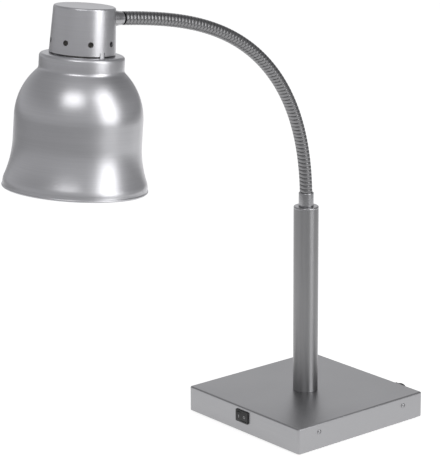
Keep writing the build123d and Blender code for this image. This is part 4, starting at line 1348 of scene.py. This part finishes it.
@dataclass
class Hood:
    """Vented cap, spun shade, and the ferrule that joins them to the neck."""

    cap_top: float = 33.4
    cap_bottom: float = 35.8
    cap_height: float = 50.0
    cap_edge: float = 2.5
    cap_taper: float = 2.7
    wall: float = 1.2
    gap: float = 1.5
    vents: int = 8
    vent_radius: float = 3.0
    vent_depth: float = 37.6
    vent_reach: Pair = (20.0, 50.0)
    tabs: int = 3
    tab_width: float = 5.0
    tab_reach: float = 6.0
    gap_steps: int = 24
    slit: float = 0.8
    slit_height: float = 4.0
    opening: float = 27.0
    collar: float = 46.0
    corner: float = 4.0
    groove: float = 6.0
    dome: float = 69.5
    dome_depth: float = 121.0
    straight: float = 24.0
    flare: float = 115.0
    flare_angle: float = 21.0
    lip: float = 20.0
    depth: float = 198.0
    bead: float = 1.5
    bead_start: float = 55.0
    bead_sweep: float = -290.0
    ferrule_lap: float = 3.0
    ferrule_bore: float = 3.3
    ferrule_line: tuple[Pair, ...] = ((4.6, -2.0), (4.9, 0.77), (6.3, 0.77), (7.5, 1.5), (7.6, 4.2),
                                      (8.1, 7.0), (8.55, 9.4), (8.7, 10.0))

    def cap_wall(self, inset: float, depth: float) -> float:
        """The cap's radius at a depth, drawn in by a wall."""
        return self.cap_top + (self.cap_bottom - self.cap_top) * depth / self.cap_height - inset

    def cap(self) -> bpy.types.Object:
        """Cap with rounded top edge, vents, and tabs that stand on the shade.

        Returns:
            The piece.
        """
        foot = self.cap_height + self.gap
        inner_edge = self.cap_edge - self.wall
        sweep = 90 - self.cap_taper
        outline = Outline([(self.cap_wall(0, foot), -foot)])
        outline.arc((self.cap_wall(0, 0) - self.cap_edge, -self.cap_edge), self.cap_edge, self.cap_taper,
                    sweep, 8)
        outline.through((0, 0), (0, -self.wall))
        outline.arc((self.cap_wall(self.wall, 0) - inner_edge, -self.cap_edge), inner_edge, 90, -sweep, 5)
        outline.through((self.cap_wall(self.wall, foot), -foot))
        cap = lathe(outline, segments=144)
        for vent in range(self.vents):
            place = shift(0, 0, -self.vent_depth) @ turn(90 + 360 / self.vents * (vent + 0.5), "Z")
            cap = carve(cap, move(rod(self.vent_radius, *self.vent_reach, 32), place @ turn(90, "Y")))
        cap = self.cut_foot(cap, foot)
        return make_piece("hood_cap", move(cap, HOOD.matrix()), Slot.HOOD, Finish.SPUN, "cap")

    def cut_foot(self, cap: Mesh, foot: float) -> Mesh:
        """Cuts the gap above the shade, leaving tabs with a slit on each side.

        Args:
            cap: The whole cap.
            foot: How deep the tabs reach.

        Returns:
            The cap on its tabs.
        """
        inner, outer = self.cap_bottom - self.tab_reach, self.cap_bottom + self.tab_reach
        low, step = -foot - REACH, 360 / self.tabs
        for number in range(self.tabs):
            cutters = [self.gap_cutter(inner, outer, low)]
            for side in (-1, 1):
                middle = side * (self.tab_width + self.slit) / 2
                cutters.append(block((inner, middle - self.slit / 2, low),
                                     (outer, middle + self.slit / 2, self.slit_height - self.cap_height)))
            cap = carve(cap, *[move(cutter, turn(step * number, "Z")) for cutter in cutters])
        return cap

    def gap_cutter(self, inner: float, outer: float, low: float) -> Mesh:
        """The curved block between one tab and the next.

        Args:
            inner: Its inner radius.
            outer: Its outer radius.
            low: How high its underside lies.

        Returns:
            The block.
        """
        half_tab = math.degrees(self.tab_width / 2 / self.cap_bottom)
        high = -self.cap_height
        bm = bmesh.new()
        corners = ((inner, low), (outer, low), (outer, high), (inner, high))
        face = bm.faces.new([add_point(bm, radius, 0, z) for radius, z in corners])
        move(bm, turn(half_tab, "Z"))
        bmesh.ops.spin(bm, geom=[face], cent=(0, 0, 0), axis=(0, 0, 1), dvec=(0, 0, 0),
                       angle=math.radians(360 / self.tabs - 2 * half_tab), steps=self.gap_steps,
                       use_merge=False, use_duplicate=False)
        bmesh.ops.recalc_face_normals(bm, faces=bm.faces)
        return bm

    def shade_side(self, inset: float) -> Outline:
        """One side of the shade's wall, from its opening to its rim.

        Args:
            inset: How far it lies inside the shade's outer side.

        Returns:
            The side as an outline.
        """
        top = -(self.cap_height + self.gap) - inset
        collar, dome = self.collar - inset, self.dome - inset
        corner, flare, lip = self.corner - inset, self.flare + inset, self.lip - inset
        groove_at = self.collar + self.groove
        start = math.degrees(math.acos(groove_at / (self.dome + self.groove)))
        groove_z = groove_at * math.tan(math.radians(start)) - self.dome_depth
        outline = Outline([(self.opening, top)])
        outline.arc((collar - corner, top - corner), corner, 90, -90, 6)
        outline.arc((groove_at, groove_z), self.groove + inset, 180, start, 8)
        outline.arc((0, -self.dome_depth), dome, start, -start, 24)
        straight_end = -self.dome_depth - self.straight
        outline.arc((dome + flare, straight_end), flare, 180, self.flare_angle, 12)
        slope = Vector((math.cos(math.radians(self.flare_angle)), math.sin(math.radians(self.flare_angle))))
        centre = Vector((dome + flare, straight_end)) - slope * (flare + lip)
        outline.arc((centre.x, centre.y), lip, self.flare_angle, -self.flare_angle, 6)
        return outline.through((centre.x + lip, -self.depth + self.bead))

    def shade(self) -> bpy.types.Object:
        """Spun bell with its rolled rim.

        Returns:
            The piece.
        """
        outer, inner = self.shade_side(0), self.shade_side(self.wall)
        rim = (outer.points[-1][0] + inner.points[-1][0]) / 2
        outline = Outline(outer.points[:-1])
        outline.arc((rim, -self.depth + self.bead), self.bead, self.bead_start, self.bead_sweep, 18)
        outline.through(*inner.points[-2::-1])
        shade = move(lathe(outline, segments=160), HOOD.matrix())
        return make_piece("hood_shade", shade, Slot.HOOD, Finish.SPUN, "shade")

    def ferrule(self) -> bpy.types.Object:
        """Bright ferrule that swells from the neck to the cap's wall.

        Returns:
            The piece.
        """
        reach = HOOD.ferrule_reach + self.ferrule_lap
        outline = Outline([(self.ferrule_bore, self.ferrule_line[0][1]), *self.ferrule_line])
        outline.through((self.ferrule_line[-1][0], reach), (self.ferrule_bore, reach))
        bm = move(lathe(outline), Matrix.Translation(JOINTS[-1]) @ turn(90 + HOOD.lean, "X"))
        return make_piece("neck_upper_ferrule", bm, Slot.CHROME, Finish.CHROME, "upper_ferrule")

    def build(self) -> None:
        """Builds the hood and dresses what joins it to the neck inside."""
        ride(Body.HOOD, self.cap(), self.shade(), self.ferrule())
        dress(Finish.ZINC, "nipple_nut", "holder_bracket", "holder_screws")


@dataclass
class Lamp:
    """Reflector lamp in its ceramic holder."""

    tip_depth: float = 31.35
    length: float = 167.0
    radius: float = 62.5
    edge: float = 22.0
    face: float = 110.0
    neck: float = 22.5
    neck_end: float = 62.0
    shoulder: tuple[Pair, ...] = ((12.2, 21.0), (12.2, 26.5), (13.0, 28.2), (16.2, 31.2), (20.3, 35.8),
                                  (22.5, 39.5), (22.5, 57.0), (23.2, 63.0), (25.3, 67.4))
    meeting: float = 18.0
    glass: float = 1.2
    cap_radius: float = 13.1
    crown: tuple[Pair, ...] = ((12.6, 25.0), (12.6, 4.2), (11.7, 3.4), (10.0, 3.0))
    thread_pitch: float = 3.6
    thread_turns: int = 5
    thread_depth: float = 0.45
    thread_across: int = 8
    thread_around: int = 48
    thread_start: float = 23.8

    def place(self) -> Matrix:
        """The lamp's own axes, with its tip at the origin and its face down."""
        return HOOD.matrix() @ shift(0, 0, -self.tip_depth)

    def envelope(self) -> tuple[Outline, Outline]:
        """The glass in two outlines that meet at its widest ring: silvered back and coloured front.

        Returns:
            The back's outline and the front's.
        """
        widest = self.radius - self.edge
        face_z = self.face - self.length
        edge_z = face_z - math.sqrt((self.face - self.edge) ** 2 - widest**2)
        run = Vector((widest - self.neck, edge_z + self.neck_end))
        slope = math.degrees(math.atan2(run.y, run.x) + math.asin(self.edge / run.length))
        rise = math.degrees(math.atan2(edge_z - face_z, widest))
        back = Outline([(radius, -depth) for radius, depth in self.shoulder])
        back.arc((widest, edge_z), self.edge, slope + 90, -slope - 90 - self.meeting, 10)
        front = Outline([]).arc((widest, edge_z), self.edge, -self.meeting, rise + self.meeting, 10)
        front.arc((0, face_z), self.face, rise, -90 - rise, 12)
        return back, front

    def glass_piece(self, name: str, outline: Outline, finish: Finish, *nodes: str) -> bpy.types.Object:
        """One part of the envelope.

        Args:
            name: The piece's name.
            outline: Its outer outline.
            finish: Its finish.
            *nodes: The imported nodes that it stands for.

        Returns:
            The piece.
        """
        skin = lathe(outline, False, 128)
        bmesh.ops.solidify(skin, geom=skin.faces[:], thickness=self.glass * MM)
        bmesh.ops.recalc_face_normals(skin, faces=skin.faces)
        return make_piece(name, move(skin, self.place()), Slot.ENVELOPE, finish, *nodes)

    def screw_cap(self) -> bpy.types.Object:
        """Thin cap with its rolled screw thread, closed round the lamp's tip.

        Returns:
            The piece.
        """
        profile = []
        for step in range(self.thread_across + 1):
            share = step / self.thread_across
            dip = self.thread_depth * (1 + math.cos(2 * math.pi * share)) / 2
            profile.append((self.cap_radius - dip, 0, self.thread_pitch * share))
        thread = wind(profile, self.thread_pitch, self.thread_turns, self.thread_around)
        move(thread, shift(0, 0, -self.thread_start))
        crown = Outline([(radius, -depth) for radius, depth in self.crown])
        whole = move(join(thread, lathe(crown, False, 64)), self.place())
        return make_piece("lamp_screw_cap", whole, Slot.BRASS, Finish.BRASS, "lamp_cap")

    def build(self) -> None:
        """Builds the lamp and dresses its holder."""
        back, front = self.envelope()
        ride(Body.HOOD, self.glass_piece("lamp_reflector", back, Finish.LAMP_SILVER, "lamp_glass"),
             self.glass_piece("lamp_front_glass", front, Finish.LAMP_FRONT), self.screw_cap())
        dress(Finish.CERAMIC, "lampholder_body")
        dress(Finish.ZINC, "lamp_tip")
        dress(Finish.BRASS, "lampholder_shell", "lampholder_contact")


@dataclass
class Wiring:
    """Leads that stay still: in the base, and from the neck to the lamp's holder."""

    radius: float = 2.3
    foot_route: tuple[Triple, ...] = ((0, -45, 12), (0, -12, 12), (0, 0, 14), (0, 0, 50))
    stretch_half: float = 14.3
    holder_depth: float = 24.5
    bend_share: float = 0.8

    def run(self, name: str, points: list[Vector], body: Body) -> None:
        """A smooth stretch of lead through control points.

        Args:
            name: The piece's name.
            points: The route's corners in metres.
            body: What it rides on.
        """
        curve = bpy.data.curves.new(name, "CURVE")
        curve.dimensions = "3D"
        curve.bevel_depth = self.radius * MM
        curve.bevel_resolution = 4
        curve.use_fill_caps = True
        spline = curve.splines.new("NURBS")
        spline.points.add(len(points) - 1)
        for point, place in zip(spline.points, points):
            point.co = (*place, 1.0)
        spline.order_u = 3
        spline.use_endpoint_u = True
        spline.resolution_u = 8
        helper = add_object(name + "_route", curve)
        mesh = bpy.data.meshes.new_from_object(helper.evaluated_get(bpy.context.evaluated_depsgraph_get()))
        bm = bmesh.new()
        bm.from_mesh(mesh)
        bmesh.ops.remove_doubles(bm, verts=bm.verts, dist=SAME_POINT)
        bpy.data.objects.remove(helper)
        bpy.data.meshes.remove(mesh)
        bpy.data.curves.remove(curve)
        ride(body, make_piece(name, bm, Slot.SHEATH, Finish.SHEATH))

    def build(self) -> None:
        """Builds the still leads and dresses the cores."""
        foot = JOINTS[0] - Vector((0, 0, self.stretch_half * MM))
        self.run("lamp_lead_foot", [*[Vector(point) * MM for point in self.foot_route], foot], Body.BASE)
        start = JOINTS[-1] + HOOD.heading() * self.stretch_half * MM
        bend = HOOD.matrix() @ Vector((0, 0, -HOOD.neck_depth * MM))
        end = HOOD.matrix() @ Vector((0, 0, -self.holder_depth * MM))
        self.run("lamp_lead_head", [start, start.lerp(bend, self.bend_share), bend, end], Body.HOOD)
        dress(Finish.CORE_BROWN, "switch_lead_in", "switch_lead_out")
        dress(Finish.CORE_GREEN, "earth_lead")


# Studio


def heading(azimuth: float, elevation: float) -> Vector:
    """The direction at an azimuth, 0 towards -Y and 90 towards +X, and an elevation, in degrees."""
    aside, rise = math.radians(azimuth), math.radians(elevation)
    return Vector((math.sin(aside) * math.cos(rise), -math.cos(aside) * math.cos(rise), math.sin(rise)))


def along(nodes: Nodes, point: bpy.types.NodeSocket, way: Vector) -> bpy.types.NodeSocket:
    """How far a point lies out along a direction."""
    return nodes.add("ShaderNodeVectorMath", {0: point, 1: way}, operation="DOT_PRODUCT").outputs["Value"]


@dataclass(frozen=True)
class Softbox:
    """An area light that faces the lamp's middle, with its size as angles seen from there."""

    name: str
    azimuth: float
    elevation: float
    width: float
    height: float
    level: float
    distance: float = 2.6

    def size(self) -> Pair:
        """Width and height in metres."""
        return tuple(2 * self.distance * math.tan(math.radians(angle / 2))
                     for angle in (self.width, self.height))

    def watts(self) -> float:
        """Power that makes the light's face as bright as its level."""
        across, up = self.size()
        return self.level * math.pi * across * up


@dataclass(frozen=True)
class Patch:
    """A soft patch of the surroundings: full within the near angle, gone beyond the far one."""

    azimuth: float
    elevation: float
    near: float
    far: float
    tint: Triple

    def mask(self, nodes: Nodes, way: bpy.types.NodeSocket) -> bpy.types.NodeSocket:
        """How far a direction lies within the patch.

        Args:
            nodes: The world's nodes.
            way: The direction.

        Returns:
            A socket from 0 to 1.
        """
        ends = (math.cos(math.radians(self.far)), math.cos(math.radians(self.near)))
        return nodes.fit(along(nodes, way, heading(self.azimuth, self.elevation)), ends,
                         interpolation="SMOOTHSTEP")


@dataclass
class Studio:
    """Grey floor with a run of white paper under and behind the lamp, soft lights and the camera."""

    camera_at: Triple = (1.81237, -1.63566, 0.90456)
    right: Triple = (0.63959, 0.76869, -0.00631)
    up: Triple = (-0.19940, 0.17382, 0.96438)
    focal_px: float = 2125.1
    frame_px: float = 456.0
    sensor: float = 36.0
    clip: Pair = (0.05, 50.0)
    middle: Triple = (0.0, -0.30, 0.42)
    floor_reach: float = 14.0
    floor_grey: float = 0.50
    floor_roughness: float = 0.9
    floor_specular: float = 0.2
    paper_glow: float = 0.80
    paper_front: Pair = (-0.95, -0.25)
    paper_back: Pair = (8.0, 3.8)
    paper_side: Pair = (2.2, 0.62)
    paper_middle: float = -0.10
    sky: tuple[Pair, ...] = ((0.48, 0.60), (0.58, 0.52), (0.76, 0.34), (0.93, 0.37), (1.0, 0.50))
    sky_blue: float = 1.02
    rear: Patch = Patch(178.0, 10.0, 20.0, 60.0, (0.66, 0.66, 0.66))
    wall: Patch = Patch(229.0, 26.0, 12.0, 26.0, (0.80, 0.80, 0.81))
    softboxes: tuple[Softbox, ...] = (
        Softbox("key", 43.0, 44.0, 32.0, 21.0, 2.4),
        Softbox("side", 111.0, 23.0, 30.0, 52.0, 2.4),
    )

    def camera(self) -> None:
        """Sets the camera where the photograph was taken from."""
        data = bpy.data.cameras.new("camera")
        data.sensor_width = self.sensor
        data.lens = self.focal_px / self.frame_px * self.sensor
        data.clip_start, data.clip_end = self.clip
        right = Vector(self.right).normalized()
        up = (Vector(self.up) - Vector(self.up).dot(right) * right).normalized()
        aim = Matrix((right, up, right.cross(up))).transposed().to_4x4()
        camera = add_object("camera", data)
        camera.matrix_world = Matrix.Translation(self.camera_at) @ aim
        bpy.context.scene.camera = camera

    def floor(self) -> None:
        """A level floor under the lamp."""
        bm = bmesh.new()
        bmesh.ops.create_circle(bm, cap_ends=True, segments=64, radius=self.floor_reach)
        mesh = stored("floor", bm)
        material, nodes, shader = new_material("studio_floor")
        nodes.fill(shader, {
            "Base Color": toned((self.floor_grey,) * 3),
            "Roughness": self.floor_roughness,
            "Specular IOR Level": self.floor_specular,
            "Emission Color": (1.0, 1.0, 1.0, 1.0),
            "Emission Strength": self.glow(nodes),
        })
        mesh.materials.append(material)
        floor = add_object("floor", mesh)

    def glow(self, nodes: Nodes) -> bpy.types.NodeSocket:
        """Works out the light of the paper, for the camera and for what metal and glass show of it.

        Args:
            nodes: The floor's nodes.

        Returns:
            The socket with its strength.
        """
        path = nodes.add("ShaderNodeLightPath").outputs
        seen = path["Is Camera Ray"]
        for kind in ("Is Glossy Ray", "Is Transmission Ray"):
            seen = nodes.combine("MAXIMUM", seen, path[kind])
        point = nodes.add("ShaderNodeTexCoord").outputs["Object"]
        right = Vector((self.right[0], self.right[1], 0)).normalized()
        depth = along(nodes, point, Vector((0, 0, 1)).cross(right))
        side = nodes.combine("SUBTRACT", along(nodes, point, right), self.paper_middle)
        side = nodes.combine("ABSOLUTE", side)
        for value, edge in ((depth, self.paper_front), (depth, self.paper_back), (side, self.paper_side)):
            seen = nodes.combine("MULTIPLY", seen, nodes.fit(value, edge, interpolation="SMOOTHSTEP"))
        return nodes.combine("MULTIPLY", seen, self.paper_glow)

    def light(self, box: Softbox) -> None:
        """Sets up one soft light.

        Args:
            box: The light.
        """
        data = bpy.data.lights.new(box.name, "AREA")
        data.shape = "RECTANGLE"
        data.size, data.size_y = box.size()
        data.energy = box.watts()
        way = heading(box.azimuth, box.elevation)
        aim = way.to_track_quat("Z", "Y").to_matrix().to_4x4()
        light = add_object(box.name, data)
        light.matrix_world = Matrix.Translation(Vector(self.middle) + way * box.distance) @ aim

    def surroundings(self) -> None:
        """Grey studio, lighter low down and overhead, darker to the rear, with a pale wall behind."""
        world = bpy.data.worlds.new("studio")
        world.use_nodes = True
        nodes = Nodes(world.node_tree)
        way = nodes.add("ShaderNodeTexCoord").outputs["Generated"]
        height = nodes.add("ShaderNodeSeparateXYZ", {0: way}).outputs["Z"]
        ramp = nodes.add("ShaderNodeValToRGB", {"Fac": nodes.fit(height, (-1.0, 1.0))})
        stops = ramp.color_ramp.elements
        stops.remove(stops[1])
        for number, (place, grey) in enumerate(self.sky):
            stop = stops.new(place) if number else stops[0]
            stop.position = place
            stop.color = (grey, grey, grey * self.sky_blue, 1.0)
        shaded = nodes.mix(self.rear.mask(nodes, way), ramp.outputs["Color"], toned(self.rear.tint),
                           "MULTIPLY")
        lit = nodes.mix(self.wall.mask(nodes, way), shaded, toned(self.wall.tint))
        nodes.fill(world.node_tree.nodes["Background"], {"Color": lit})
        bpy.context.scene.world = world

    def build(self) -> None:
        """Builds the studio."""
        bpy.context.scene.view_settings.view_transform = "Standard"
        self.camera()
        self.floor()
        self.surroundings()
        for box in self.softboxes:
            self.light(box)


def main() -> None:
    """Builds the studio and every sub-assembly."""
    logging.basicConfig(level=logging.INFO, format="%(name)s: %(message)s")
    Studio().build()
    for assembly in (Base(), Switch(), Gland(), Pole(), Neck(), Hood(), Lamp(), Wiring()):
        LOG.info("building %s", type(assembly).__name__)
        assembly.build()


if __name__ == "__main__":
    main()
